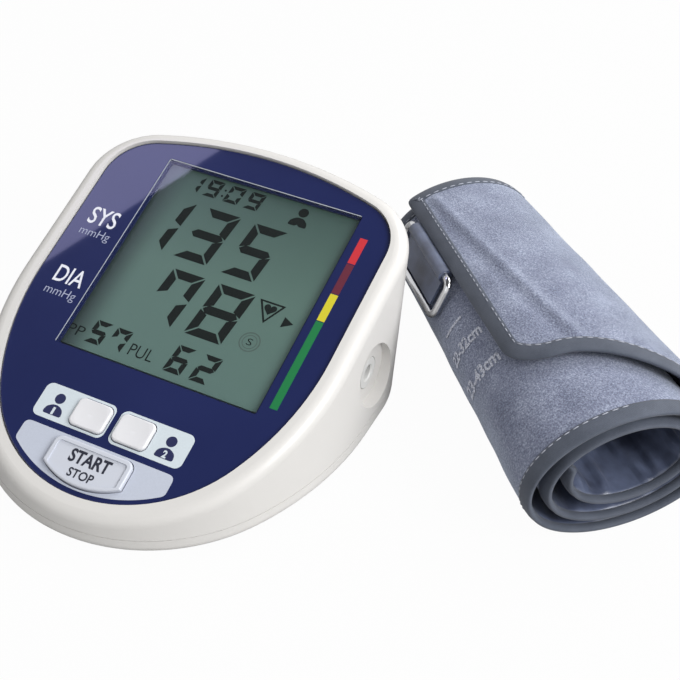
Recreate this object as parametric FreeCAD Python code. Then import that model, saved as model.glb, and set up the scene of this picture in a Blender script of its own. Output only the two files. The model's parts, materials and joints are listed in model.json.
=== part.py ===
import FreeCAD, Part
import math
import os
from FreeCAD import Vector, Placement, Rotation

# Upper-arm blood-pressure monitor set: a table-top monitor and its rolled wrap cuff. Millimetres, +Z up.
# The monitor is modelled with x = 0 on its middle plane and y = 0 under the middle of the display;
# its front is towards -Y. At the end the whole set is moved so that the origin is at the middle of its base.

# ---- display and face plate; x and v lie in the tilted face, w is the height over it ----
face_tilt = 18.0              # slope of the face, degrees
face_height = 38.5            # face over the table at the middle of the display
display_width = 72.3
display_length = 76.5
display_offset = 3.2          # the display is this far right of the middle plane
plate_half = 52.6             # half width of the face plate
plate_top = 48.7              # top of the plate's arch
plate_rise = 10.2             # height of the arch over the half width
plate_corner = 17.0
plate_shoulder = -14.5        # where the straight sides end
plate_side_radius = 88.0
plate_front = -81.6           # lowest point of the plate
plate_thickness = 2.0
window_thickness = 1.2
window_sink = 0.1             # the window lies this far below the plate
window_ledge = 0.8
lcd_thickness = 2.4
lcd_margin = 1.5              # glass beyond the window on each side
window_corner = 1.0
window_play = 0.1             # between the window and its pocket, each side
lcd_step = 1.5                # the lower glass reaches past the upper one by twice this
lcd_corner = 0.3
fit_gap = 0.2                 # between pieces that drop into each other
plate_edge = 0.5              # rounding of the plate's top edge

# ---- housing ----
rim_side = 5.7                # width of the raised rim round the plate
rim_top_extra = 2.6           # the rim is wider by this at the top
rim_height = 1.0              # crest of the rim over the plate
rim_round = 4.2
base_half = 63.2
base_back = 38.0
base_rise = 9.0
base_corner = 34.0
base_shoulder = -8.2
base_side_radius = 96.2
base_front = -85.2
base_edge_round = 2.5
foot_height = 1.6
parting_height = 7.0          # seam between the lower and the upper case
seam_gap = 0.2
wall = 2.4
floor_thickness = 2.2
deck_thickness = 2.2          # shelf of the upper case that carries the plate
lip_height = 1.6
lip_thickness = 1.2
rib_places = (-32.0, -44.0)   # cross ribs of the floor
rib_half_length = 30.0
rib_thickness = 1.2
rib_height = 2.5

# ---- keys ----
key_half_gap = 1.6            # from the middle plane to each user key
key_width = 12.0
key_length = 9.4
key_middle = -57.0
key_corner = 2.0
key_proud = 1.1
key_edge = 0.7
start_half = 13.6
start_top = -65.9
start_length = 13.1
start_shoulder = 9.2          # length of the start key's straight sides
start_corner = 2.6
start_proud = 1.5
start_ring = 1.5              # width of the start key's raised ring
start_sink = 0.5              # its middle is sunk by this
flange_width = 1.1
flange_thickness = 0.8
key_travel = 0.8
stem_radius = 2.0
stem_length = 1.5
start_edge = 0.6
dish_radius = 60.0
dish_depth = 0.22             # of the finger dish in a user key
dome_clearance = 0.2
dome_foot = 4.2               # outer radius of a dome at the mat
dome_crown = 2.6              # and at its top
dome_wall = 0.8
dome_roof = 0.5

# ---- electronics ----
board_thickness = 1.6
board_inset = 7.0             # board edge inside the plate edge
board_depth = 7.4             # top of the board under the face
mat_thickness = 1.0
mat_half_width = 17.0
mat_half_length = 14.0
mat_corner = 3.0
board_screw_radius = 1.4
board_screw_head = 1.4        # height of the head
board_screw_rim = 1.0         # how much wider the head is than the hole
thread_depth = 0.3            # of a board screw's thread in its post
standoff_radius = 2.8
standoff_inset = 1.2          # side posts inside the board's edge
standoff_bite = 0.6           # the posts run this far into the deck
screw_end_gap = 0.4           # the screws stop this far under it
front_standoff_x = 30.0
front_standoff_rise = 10.0    # front posts over the middle of the user keys
strip_width = 2.4
strip_end = 6.0               # the strips' slots stop this far inside the glass
strip_play = 0.3
slot_play = 0.1
frame_rim = 1.0               # wall of the display's holder
frame_play = 0.2
frame_lap = 0.4               # the holder reaches into the deck's opening by this
frame_ledge = 8.0
frame_corner = 3.0
chips = ((-20, 22, 6, 6, 1.6), (-22, 0, 4, 5.5, 1.5), (-8, 30, 3, 1.6, 1.4))   # x, v, half sizes and height
chip_corner = 0.4
sensor_size = 11.0
sensor_height = 6.0
buzzer_radius = 7.0
buzzer_height = 3.4
buzzer_place = (-34.0, 8.0)   # x and v under the board
buzzer_hole = 1.0

# ---- battery bay: four AA cells side by side ----
cell_radius = 7.25
cell_length = 49.5
cell_nub_radius = 2.75
cell_nub = 1.0
cell_edge = 0.5
cell_gap = 0.4
cell_count = 4
bay_left = -46.0
bay_front = -24.5
bay_skin = 1.2
spring_room = 3.4
contact_thickness = 0.5
leaf_width = 6.0
leaf_thickness = 0.3
leaf_reach = 5.0              # half the leaf spring's height
leaf_foot = 0.5
contact_half = 5.0            # half width of a contact plate
contact_margin = 1.0
door_thickness = 2.0
door_clearance = 0.3
door_tongue = 1.2
door_travel = 14.0
ridge_count = 5               # finger grooves of the door
ridge_start = 5.0
ridge_pitch = 2.4
ridge_radius = 0.7
ridge_half = 11.0
ridge_drop = 0.2

# ---- air parts and sockets ----
pump_radius = 11.0
pump_motor_length = 23.0
pump_head_length = 14.0
pump_x = 27.5
pump_front = -3.0
pump_lift = 1.2               # pump over the floor
motor_step = 1.0              # the motor is slimmer than the head by this
pump_cap = 2.0                # depth of the head's end cap
pump_cap_step = 2.5
bearing_radius = 3.0
bearing_height = 1.2
cradle_side = 1.0
cradle_start = 2.0            # cradle behind the pump's head
cradle_length = 16.0
cradle_drop = 2.0             # its top under the pump's axis
valve_radius = 5.2
valve_length = 19.0
valve_x = 0.0
valve_back_gap = 1.0          # valve in front of the bay's rear
yoke_inset = 2.0
block_x = 34.0                # the air block joins the tubes
block_y = -24.0
block_half_width = 8.0
block_half_depth = 4.0
block_lift = 1.0
block_round = 1.0
block_nozzles = 4.5           # its nozzles each side of its middle
tube_outer = 2.4
tube_bore = 1.2
tube_bend = 2.6               # radius of the tubes' middle line
tube_slack = 1.5              # straight run past a nozzle
tube_over_bay = 0.6           # tube over the battery box
tube_by_bay = 1.0             # and beside it
tube_rise_gap = 6.0           # where it has risen, in front of the pump
tube_turn_y = -4.0
nozzle_length = 3.5
socket_y = 1.0
socket_z = 19.5
recess_radius = 10.5
recess_depth = 2.6            # its floor behind the wall's outside at the socket's height
socket_barrel = 5.2
socket_bore = 2.6
socket_bore_length = 11.0
socket_flange = 1.8
socket_flange_depth = 1.6
socket_stem_step = 1.2
socket_chamfer = 0.4
elbow_wall = 0.6
jack_x = 31.0
jack_z = 32.3
jack_radius = 4.2
jack_bore = 2.75
jack_bore_length = 10.0
jack_recess = 1.8             # flat seat behind the rear wall's outside at the jack's height
jack_seat_depth = 5.0
jack_proud = 0.5
jack_back = 2.0
jack_flange = 1.4
jack_pin = 0.9
jack_pin_sink = 1.5

# ---- fasteners and feet ----
post_radius = 3.4
post_gap = 4.0                # the upper bosses start this far over the seam
pilot_end = 1.5               # their pilot holes stop this far under it
post_play = 0.6               # between a boss and the board
screw_radius = 1.3
screw_bite = 0.25             # thread depth in the boss
screw_play = 0.2
screw_head_radius = 2.6
screw_head_height = 1.8
screw_head_play = 0.3
screw_seat = 0.5              # the heads seat this far over the seam
screw_grip = 7.0              # shank past the seat
slot_half = 1.8
slot_width = 0.7
slot_depth = 0.9
rear_post = (51.8, 15.0)
front_post = (37.0, -48.0)
foot_radius = 4.5
foot_play = 0.1
foot_sink = 0.8
foot_edge = 0.5
front_foot = (34.0, -62.0)
rear_foot = (52.5, 4.0)

# ---- cuff: a tapering roll that lies on the table beside the monitor ----
cuff_x = 144.4                # middle of the near end
cuff_y = -8.1
cuff_turn = 45.4              # direction of the roll's long side, degrees
cuff_length = 127.0
near_half_width = 37.0
near_half_height = 28.5
far_scale = 0.77              # size of the far end against the near end
turn_pitch = 6.2              # how much each turn is narrower than the last, each side
turn_rise = 4.9               # and how much lower
cover_thickness = 1.3
bladder_room = 0.6
bladder_play = 0.1
liner_thickness = 0.5
roll_turns = 2.9
roll_facets = 32              # flat strips in each turn
seam_turn = 1.3               # where the outer cover is sewn to the inner one
tail_lift = 3.5               # the innermost turn stands off the turn below it by this
flap_angle = 132.0            # where the outer end stops, degrees from the level
flap_share = 0.36             # share of a turn that the narrow outer end takes
flap_setback = 29.0
flap_corner = 14.0
sweep_dip = 2.0               # the cut-away edge's curve: how it leaves the corner
sweep_run = 18.0
sweep_end = 12.0              # and where it ends
sweep_past = 8.0
cutter_margin = 30.0
binding_width = 3.0
binding_proud = 0.25
bladder_margin = 9.0
bladder_start = 0.95
bladder_end = 2.2
hook_thickness = 1.0
hook_margin = 6.0
bow_length = 38.0
bow_width = 13.0
bow_wire = 1.3
bow_corner = 3.0
bow_to_far_end = 10.0
bow_lift = 0.6                # outer bar over the turn it rests on
tongue_thickness = 0.8
tongue_gap = 0.6              # between the hem's tongue and the outer bar
hem_wall = 0.9
hem_margin = 1.5              # the hem stops this far short of the bow's corners
hem_clearance = 0.08
hem_gap = 0.3                 # between the hem and the cuff's bound edge
hook_gap = 0.12               # between the hook tape and the liner

# ---- worked out from the sizes above ----
face_frame = Placement(Vector(0, 0, face_height), Rotation(Vector(1, 0, 0), face_tilt))
slope = math.radians(face_tilt)
up = Vector(0, 0, 1)
deck_top = -plate_thickness
deck_bottom = deck_top - deck_thickness
lcd_top = deck_top - fit_gap
lcd_bottom = lcd_top - lcd_thickness
board_top = -board_depth
board_bottom = board_top - board_thickness
case_bottom = foot_height
floor_top = case_bottom + floor_thickness
bay_width = cell_count * (2 * cell_radius + cell_gap) + cell_gap
bay_right = bay_left + bay_width
bay_length = cell_length + cell_nub + spring_room + 2 * contact_thickness
bay_back = bay_front + bay_length
door_top = case_bottom + door_thickness
cell_axis_z = door_top + door_clearance + cell_radius
bay_top = cell_axis_z + cell_radius + cell_gap
roll_thickness = cover_thickness + bladder_room + liner_thickness
edge_turn = binding_width / (2 * math.pi * near_half_width)
bow_start = cuff_length - bow_length - bow_to_far_end
reach = 2 * (base_back - base_front)   # cutting blocks go past everything
flange_top = deck_top - fit_gap
flange_bottom = flange_top - flange_thickness


def at_face(shape):
    """Moves a shape from the face's own x, v, w to the monitor."""
    shape.Placement = face_frame.multiply(shape.Placement)
    return shape


def face_z(y, w):
    """Height over the table of the level w of the face, at a given y."""
    return face_height + y * math.tan(slope) + w / math.cos(slope)


def box(x0, y0, z0, x1, y1, z1):
    return Part.makeBox(x1 - x0, y1 - y0, z1 - z0, Vector(x0, y0, z0))


def rounded_rectangle(half_x, half_y, radius, centre=(0, 0), z=0.0):
    """Closed wire of four lines and four quarter circles."""
    cx, cy = centre
    edges = []
    for quarter in range(4):
        turn = Rotation(up, 90 * quarter)
        hx, hy = (half_x, half_y) if quarter % 2 == 0 else (half_y, half_x)
        middle = Vector(hx - radius, hy - radius, 0)
        arc = [middle + Vector(math.cos(a), math.sin(a), 0) * radius for a in (0, math.pi / 4, math.pi / 2)]
        start = Vector(hx, radius - hy, 0)
        line_end, arc_mid, arc_end = [turn.multVec(p) for p in arc]
        edges.append(Part.LineSegment(turn.multVec(start), line_end).toShape())
        edges.append(Part.Arc(line_end, arc_mid, arc_end).toShape())
    wire = Part.Wire(edges)
    wire.translate(Vector(cx, cy, z))
    return wire


def slab(wire, bottom, top):
    """Prism of a flat wire between two heights."""
    face = Part.Face(wire)
    face.translate(Vector(0, 0, bottom - wire.BoundBox.ZMin))
    return face.extrude(Vector(0, 0, top - bottom))


def shield(half, top, rise, corner, shoulder, side, front, grow=0.0, extra_top=0.0):
    """Outline of the monitor: arched top, straight sides, two wide side arcs and one bottom arc, all tangent."""
    side_x = half - side
    drop = shoulder - front
    bottom = (side ** 2 - side_x ** 2 - drop ** 2) / (2 * (side - drop))
    bottom_y = front + bottom
    away = math.atan2(bottom_y - shoulder, -side_x)
    arch = (half ** 2 + rise ** 2) / (2 * rise)
    arch_y = top + extra_top - arch
    corner_x = half - corner
    corner_y = arch_y + math.sqrt((arch - corner) ** 2 - corner_x ** 2)
    lean = math.atan2(corner_y - arch_y, corner_x)

    def on(cx, cy, radius, angle):
        return Vector(cx + (radius + grow) * math.cos(angle), cy + (radius + grow) * math.sin(angle), 0)

    def flip(point):
        return Vector(-point.x, point.y, 0)

    low = on(0, bottom_y, bottom, -math.pi / 2)
    join = on(side_x, shoulder, side, away)
    right = [
        Part.Arc(join, on(side_x, shoulder, side, away / 2), on(side_x, shoulder, side, 0)),
        Part.LineSegment(on(side_x, shoulder, side, 0), on(corner_x, corner_y, corner, 0)),
        Part.Arc(on(corner_x, corner_y, corner, 0), on(corner_x, corner_y, corner, lean / 2),
                 on(corner_x, corner_y, corner, lean)),
    ]
    mirror = FreeCAD.Matrix(-1, 0, 0, 0, 0, 1, 0, 0, 0, 0, 1, 0, 0, 0, 0, 1)
    right = [curve.toShape() for curve in right]
    left = [edge.transformGeometry(mirror) for edge in right]
    crown = on(corner_x, corner_y, corner, lean)
    edges = [Part.Arc(flip(join), low, join).toShape()] + right
    edges += [Part.Arc(crown, on(0, arch_y, arch, math.pi / 2), flip(crown)).toShape()] + left
    return Part.Wire(Part.__sortEdges__(edges))


def plate_outline(grow=0.0, extra_top=0.0):
    return shield(plate_half, plate_top, plate_rise, plate_corner, plate_shoulder, plate_side_radius,
                  plate_front, grow, extra_top)


def base_outline(grow=0.0):
    return shield(base_half, base_back, base_rise, base_corner, base_shoulder, base_side_radius,
                  base_front, grow)


def housing_form(inset):
    """The housing's body: a loft from the base outline to the tilted rim outline, both drawn in by the inset."""
    low = base_outline(-inset)
    low.translate(Vector(0, 0, case_bottom))
    high = plate_outline(rim_side - inset, rim_top_extra)
    high.translate(Vector(0, 0, rim_height))
    return Part.makeLoft([low, at_face(high)], True, True)


def edges_near(shape, test):
    return [edge for edge in shape.Edges if test(edge)]


def face_w(point):
    """Height of a point over the face."""
    return face_frame.inverse().multVec(point).z


def start_outline(grow=0.0):
    """The start key: straight top with rounded corners, straight sides and an arched lower edge."""
    half = start_half + grow
    top = start_top + grow
    corner = start_corner + grow
    side_end = start_top - start_shoulder
    low = Vector(0, start_top - start_length - grow, 0)
    diagonal = corner * (1 - math.sqrt(0.5))
    left, right = Vector(-half, side_end, 0), Vector(half, side_end, 0)
    edges = [
        Part.Arc(left, low, right).toShape(),
        Part.LineSegment(right, Vector(half, top - corner, 0)).toShape(),
        Part.Arc(Vector(half, top - corner, 0), Vector(half - diagonal, top - diagonal, 0),
                 Vector(half - corner, top, 0)).toShape(),
        Part.LineSegment(Vector(half - corner, top, 0), Vector(corner - half, top, 0)).toShape(),
        Part.Arc(Vector(corner - half, top, 0), Vector(diagonal - half, top - diagonal, 0),
                 Vector(-half, top - corner, 0)).toShape(),
        Part.LineSegment(Vector(-half, top - corner, 0), left).toShape(),
    ]
    return Part.Wire(edges)


def key_outline(side, grow=0.0):
    """A user key's outline; side is -1 for the left key and 1 for the right one."""
    middle = side * (key_half_gap + key_width / 2)
    return rounded_rectangle(key_width / 2 + grow, key_length / 2 + grow, key_corner + grow, (middle, key_middle))


def key_outlines(grow):
    return [start_outline(grow), key_outline(-1, grow), key_outline(1, grow)]


def cylinder(radius, start, end):
    start, end = Vector(*start), Vector(*end)
    return Part.makeCylinder(radius, (end - start).Length, start, end - start)


def posts():
    return [(sx * x, y) for x, y in (rear_post, front_post) for sx in (-1, 1)]


def feet_places():
    return [(sx * x, y) for x, y in (front_foot, rear_foot) for sx in (-1, 1)]


def standoffs():
    """Board screws, in the face's x and v."""
    side_x = board_inset + standoff_inset + standoff_radius - plate_half
    front_v = key_middle + front_standoff_rise
    return [(side_x, display_length * 0.32), (side_x, -display_length * 0.25),
            (-front_standoff_x, front_v), (front_standoff_x, front_v)]


# ---------------------------------------------------------------- housing

def outer_form():
    """The closed housing, with its rounded rim and softened lower edge."""
    form = housing_form(0)
    rim = edges_near(form, lambda e: all(abs(face_w(v.Point) - rim_height) < 0.01 for v in e.Vertexes))
    form = form.makeFillet(rim_round, rim)
    low = edges_near(form, lambda e: all(abs(v.Z - case_bottom) < 0.01 for v in e.Vertexes))
    return form.makeFillet(base_edge_round, low)


def under_deck(shape, gap=0.0):
    return shape.cut(at_face(box(-reach, -reach, deck_bottom - gap, reach, reach, reach)))


def inner_form():
    """The hollow inside the walls, from the floor to the underside of the deck."""
    return under_deck(housing_form(wall)).cut(box(-reach, -reach, 0, reach, reach, floor_top))


def recess_floor():
    """The x of the floor of the round recess in the right wall."""
    share = (socket_z - case_bottom) / (face_z(socket_y, rim_height) - case_bottom)
    return base_half + (plate_half + rim_side - base_half) * share - recess_depth


def socket_line(radius, x_from, x_to):
    """Cylinder round the air socket's axis."""
    return cylinder(radius, (x_from, socket_y, socket_z), (x_to, socket_y, socket_z))


def jack_line(radius, y_from, y_to):
    """Cylinder round the power jack's axis."""
    return cylinder(radius, (jack_x, y_from, jack_z), (jack_x, y_to, jack_z))


def rear_jack_face():
    """The y of the flat seat that the power jack's mouth is flush with."""
    crest = face_frame.multVec(Vector(0, plate_top + rim_side + rim_top_extra, rim_height))
    share = (jack_z - case_bottom) / (crest.z - case_bottom)
    arch = (base_half ** 2 + base_rise ** 2) / (2 * base_rise)
    sag = arch - math.sqrt(arch ** 2 - jack_x ** 2)
    return base_back + (crest.y - base_back) * share - sag - jack_recess


def upper_case(form):
    seam = parting_height
    over_seam = box(-reach, -reach, seam, reach, reach, reach)
    shell = form.common(over_seam).cut(inner_form())
    # bosses that the case screws bite into, and room for the screws' heads
    for x, y in posts():
        boss = cylinder(post_radius, (x, y, seam + post_gap), (x, y, face_z(y, deck_bottom) + deck_thickness - fit_gap))
        pilot = cylinder(screw_radius - screw_bite, (x, y, seam), (x, y, face_z(y, deck_bottom) - pilot_end))
        head_room = cylinder(screw_head_radius + screw_head_play, (x, y, seam), (x, y, seam + screw_seat))
        shell = shell.fuse(boss.common(form)).cut(pilot).cut(head_room)
    for x, v in standoffs():
        post = Part.makeCylinder(standoff_radius, board_depth + deck_bottom + standoff_bite, Vector(x, v, board_top))
        shell = shell.fuse(at_face(post))
    # the round seat behind the side recess, and the jack's seat in the rear wall
    floor_x = recess_floor()
    seat = socket_line(recess_radius + wall, floor_x - wall, base_half)
    shell = shell.fuse(seat.common(form).common(over_seam))
    shell = shell.cut(socket_line(recess_radius, floor_x, 2 * base_half))
    shell = shell.cut(socket_line(socket_barrel + fit_gap, floor_x - wall - 1, base_half))
    jack_y = rear_jack_face()
    seat = jack_line(jack_radius + wall, jack_y - jack_seat_depth, jack_y + 2 * jack_seat_depth)
    shell = shell.fuse(seat.common(form))
    shell = shell.cut(jack_line(jack_radius + fit_gap, jack_y - jack_seat_depth - jack_proud, jack_y + reach))
    # the plate's pocket, the display's window and the key openings
    shell = shell.cut(at_face(slab(plate_outline(fit_gap), -plate_thickness, reach)))
    frame_wall = lcd_margin + frame_play + frame_rim + fit_gap
    window = rounded_rectangle(display_width / 2 + frame_wall, display_length / 2 + frame_wall, window_corner,
                               (display_offset, 0))
    shell = shell.cut(at_face(slab(window, deck_bottom - 1, 1)))
    for outline in key_outlines(flange_width + fit_gap):
        shell = shell.cut(at_face(slab(outline, deck_bottom - 1, 1)))
    pilot_length = board_depth + deck_bottom + standoff_bite - 0.2
    for x, v in standoffs():
        shell = shell.cut(at_face(Part.makeCylinder(board_screw_radius - thread_depth, pilot_length,
                                                    Vector(x, v, board_top - 0.1))))
    return shell


def bay_box(skin):
    """The battery box, grown by its skin."""
    return box(bay_left - skin, bay_front - skin, case_bottom, bay_right + skin, bay_back + skin, bay_top + skin)


def door_opening(gap):
    """Room of the battery door: its plate, open to the rear, and its side tongues."""
    plate = box(bay_left - gap, bay_front - bay_skin - gap, 0, bay_right + gap, reach, door_top + gap)
    mid = case_bottom + door_thickness / 2
    tongue = box(bay_left - door_tongue - gap, bay_front - bay_skin - gap, mid - gap,
                 bay_right + door_tongue + gap, reach, door_top + gap)
    return plate.fuse(tongue)


def lower_case(form):
    seam = parting_height - seam_gap
    tray = form.common(box(-reach, -reach, 0, reach, reach, seam)).cut(inner_form())
    # a lip that locates the upper case
    lip_top = seam + lip_height
    lip = under_deck(housing_form(wall + fit_gap), fit_gap).cut(housing_form(wall + lip_thickness))
    tray = tray.fuse(lip.common(box(-reach, -reach, floor_top - lip_thickness, reach, reach, lip_top)))
    seat = socket_line(recess_radius + wall + fit_gap, recess_floor() - wall - fit_gap, base_half)
    tray = tray.cut(seat.common(box(0, -reach, seam, reach, reach, reach)))
    tray = tray.fuse(bay_box(bay_skin).common(housing_form(wall + fit_gap)))
    tray = tray.cut(box(bay_left, bay_front, 0, bay_right, bay_back, bay_top))
    tray = tray.cut(door_opening(door_clearance))
    for x, y in posts():
        boss = cylinder(post_radius, (x, y, case_bottom), (x, y, parting_height + post_gap - fit_gap))
        tray = tray.fuse(boss)
        tray = tray.cut(cylinder(screw_radius + screw_play, (x, y, 0), (x, y, reach)))
        tray = tray.cut(cylinder(screw_head_radius + screw_head_play, (x, y, 0), (x, y, parting_height + screw_seat)))
    for x, y in feet_places():
        tray = tray.cut(cylinder(foot_radius + foot_play, (x, y, 0), (x, y, case_bottom + foot_sink)))
    # cross ribs that stiffen the floor in front of the bay
    for rib_y in rib_places:
        tray = tray.fuse(box(-rib_half_length, rib_y - rib_thickness / 2, floor_top - 0.1,
                             rib_half_length, rib_y + rib_thickness / 2, floor_top + rib_height))
    return tray


def battery_door(form):
    """Sliding door in the base. Its rear edge follows the housing's outline."""
    plate = box(bay_left, bay_front - bay_skin, case_bottom, bay_right, reach, door_top)
    mid = case_bottom + door_thickness / 2
    plate = plate.fuse(box(bay_left - door_tongue, bay_front - bay_skin, mid, bay_right + door_tongue,
                           bay_back, door_top))
    door = plate.common(form)
    # finger grooves near the front edge
    middle = (bay_left + bay_right) / 2
    for row in range(ridge_count):
        y, z = bay_front + ridge_start + ridge_pitch * row, case_bottom - ridge_drop
        door = door.cut(cylinder(ridge_radius, (middle - ridge_half, y, z), (middle + ridge_half, y, z)))
    return door


def case_screws():
    screws = []
    for x, y in posts():
        seat = parting_height + screw_seat
        head = cylinder(screw_head_radius, (x, y, seat - screw_head_height), (x, y, seat))
        shank = cylinder(screw_radius - screw_bite, (x, y, seat), (x, y, seat + screw_grip))
        slot_top, half = seat - screw_head_height + slot_depth, slot_width / 2
        slot = box(x - slot_half, y - half, 0, x + slot_half, y + half, slot_top)
        cross = box(x - half, y - slot_half, 0, x + half, y + slot_half, slot_top)
        screws.append(head.fuse(shank).cut(slot).cut(cross))
    return Part.makeCompound(screws)


def feet():
    pads = []
    for x, y in feet_places():
        pad = cylinder(foot_radius, (x, y, 0), (x, y, case_bottom + foot_sink))
        rim = [e for e in pad.Edges if abs(e.BoundBox.ZMax) < 0.01 and len(e.Vertexes) == 1]
        pads.append(pad.makeChamfer(foot_edge, rim))
    return Part.makeCompound(pads)


# ---------------------------------------------------------------- face

def face_plate():
    plate = slab(plate_outline(), -plate_thickness, 0)
    top = edges_near(plate, lambda e: all(abs(v.Z) < 0.001 for v in e.Vertexes))
    plate = plate.makeFillet(plate_edge, top)
    half_x, half_y = display_width / 2, display_length / 2
    sink = window_sink + window_thickness
    plate = plate.cut(slab(rounded_rectangle(half_x, half_y, window_corner, (display_offset, 0)), -sink, 1))
    through = rounded_rectangle(half_x - window_ledge, half_y - window_ledge, window_corner - 0.4, (display_offset, 0))
    plate = plate.cut(slab(through, -plate_thickness - 1, 1))
    for outline in key_outlines(fit_gap):
        plate = plate.cut(slab(outline, -plate_thickness - 1, 1))
    return at_face(plate)


def display_window():
    wire = rounded_rectangle(display_width / 2 - window_play, display_length / 2 - window_play,
                             window_corner - window_play, (display_offset, 0))
    return at_face(slab(wire, -window_sink - window_thickness, -window_sink))


def lcd_glass():
    """Two glass sheets; the lower one reaches further to carry the contacts."""
    half_x = display_width / 2 + lcd_margin
    half_y = display_length / 2 + lcd_margin
    middle = lcd_top - lcd_thickness / 2
    upper = slab(rounded_rectangle(half_x, half_y - lcd_step, lcd_corner, (display_offset, lcd_step)), middle, lcd_top)
    lower = slab(rounded_rectangle(half_x, half_y, lcd_corner, (display_offset, 0)), lcd_bottom, middle)
    return at_face(upper.fuse(lower))


def strip_places():
    return [sy * (display_length / 2 + lcd_margin - strip_width) for sy in (-1, 1)]


def lcd_frame():
    """Holder between the glass and the board, with slots for the contact strips."""
    half_x = display_width / 2 + lcd_margin + frame_play
    half_y = display_length / 2 + lcd_margin + frame_play
    outer = slab(rounded_rectangle(half_x + frame_rim, half_y + frame_rim, frame_rim, (display_offset, 0)), board_top,
                 deck_bottom + frame_lap)
    seat = slab(rounded_rectangle(half_x, half_y, frame_lap, (display_offset, 0)), lcd_bottom, 0)
    middle = slab(rounded_rectangle(half_x - frame_ledge, half_y - frame_ledge, frame_corner, (display_offset, 0)),
                  board_top - 1, 0)
    frame = outer.cut(seat).cut(middle)
    slot_x, slot_v = half_x - strip_end, strip_width / 2 + slot_play
    for v in strip_places():
        slot = box(display_offset - slot_x, v - slot_v, board_top - 1, display_offset + slot_x, v + slot_v, 0)
        frame = frame.cut(slot)
    return at_face(frame)


def contact_strips():
    half = display_width / 2 + lcd_margin + frame_play - strip_end - strip_play
    strips = [box(display_offset - half, v - strip_width / 2, board_top, display_offset + half,
                  v + strip_width / 2, lcd_bottom) for v in strip_places()]
    return at_face(Part.makeCompound(strips))


def key_cap(outline, flange, proud, edge):
    """A key cap: body through the plate, flange under it."""
    body = slab(outline, flange_bottom, proud)
    top = edges_near(body, lambda e: all(abs(v.Z - proud) < 0.001 for v in e.Vertexes))
    body = body.makeFillet(edge, top)
    return body.fuse(slab(flange, flange_bottom, flange_top))


def add_stem(cap, x, v):
    return cap.fuse(Part.makeCylinder(stem_radius, stem_length, Vector(x, v, flange_bottom - stem_length)))


def user_key(side):
    middle = side * (key_half_gap + key_width / 2)
    cap = key_cap(key_outline(side), key_outline(side, flange_width), key_proud, key_edge)
    # a shallow dish for the finger
    dish = Part.makeSphere(dish_radius, Vector(middle, key_middle, key_proud + dish_radius - dish_depth))
    return at_face(add_stem(cap.cut(dish), middle, key_middle))


def start_middle():
    return start_top - start_length / 2


def start_key():
    cap = key_cap(start_outline(), start_outline(flange_width), start_proud, start_edge)
    well = slab(start_outline(-start_ring), start_proud - start_sink, start_proud + 1)
    cap = cap.cut(well)
    return at_face(add_stem(cap, 0, start_middle()))


def key_mat():
    """Rubber mat on the board with a hollow dome under each key."""
    domes = [(0, start_middle())] + [(s * (key_half_gap + key_width / 2), key_middle) for s in (-1, 1)]
    mat = slab(rounded_rectangle(mat_half_width, mat_half_length, mat_corner, (0, (key_middle + start_middle()) / 2)),
               board_top, board_top + mat_thickness)
    height = flange_bottom - stem_length - key_travel - dome_clearance - board_top
    for x, v in domes:
        mat = mat.fuse(Part.makeCone(dome_foot, dome_crown, height, Vector(x, v, board_top)))
    for x, v in domes:
        mat = mat.cut(Part.makeCone(dome_foot - dome_wall, dome_crown - dome_wall, height - dome_roof,
                                    Vector(x, v, board_top)))
    return at_face(mat)


# ---------------------------------------------------------------- electronics

def main_board():
    board = slab(plate_outline(-board_inset), board_bottom, board_top)
    for x, v in standoffs():
        board = board.cut(Part.makeCylinder(board_screw_radius, board_thickness + 2, Vector(x, v, board_bottom - 1)))
    board = at_face(board)
    for x, y in posts():
        board = board.cut(cylinder(post_radius + post_play, (x, y, 0), (x, y, reach)))
    return board


def board_screws():
    screws = []
    length = board_thickness + board_depth + deck_bottom - screw_end_gap
    for x, v in standoffs():
        head = Part.makeCylinder(board_screw_radius + board_screw_rim, board_screw_head,
                                 Vector(x, v, board_bottom - board_screw_head))
        shank = Part.makeCylinder(board_screw_radius - thread_depth, length, Vector(x, v, board_bottom))
        screws.append(head.fuse(shank))
    return at_face(Part.makeCompound(screws))


def board_chips():
    """Processor, driver chip and crystal on the underside of the board."""
    bodies = [slab(rounded_rectangle(half_x, half_y, chip_corner, (x, v)), board_bottom - height, board_bottom)
              for x, v, half_x, half_y, height in chips]
    return at_face(Part.makeCompound(bodies))


def pressure_sensor():
    """Sensor under the board; its port ends on the air block's top."""
    x, y = block_x, block_y
    v = y / math.cos(slope) + board_bottom * math.tan(slope)
    half = sensor_size / 2
    body = at_face(slab(rounded_rectangle(half, half, 1.0, (x, v)), board_bottom - sensor_height, board_bottom))
    low = air_block_level() + tube_outer + 0.1
    port = cylinder(tube_bore + 0.4, (x, y + 1, low), (x, y + 1, face_z(y, board_bottom - sensor_height / 2)))
    return body.fuse(port)


def buzzer():
    body = Part.makeCylinder(buzzer_radius, buzzer_height, Vector(*buzzer_place, board_bottom - buzzer_height))
    hole = Part.makeCylinder(buzzer_hole, buzzer_hole, Vector(*buzzer_place, board_bottom - buzzer_height))
    return at_face(body.cut(hole))


# ---------------------------------------------------------------- batteries

def cell_x(number):
    return bay_left + cell_gap + cell_radius + number * (2 * cell_radius + cell_gap)


def cell_ends(number):
    """First and last y of a cell's can; every other cell is turned round."""
    spring_first = number % 2 == 0
    first = bay_front + contact_thickness + (spring_room if spring_first else cell_nub)
    return first, first + cell_length, spring_first


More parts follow.
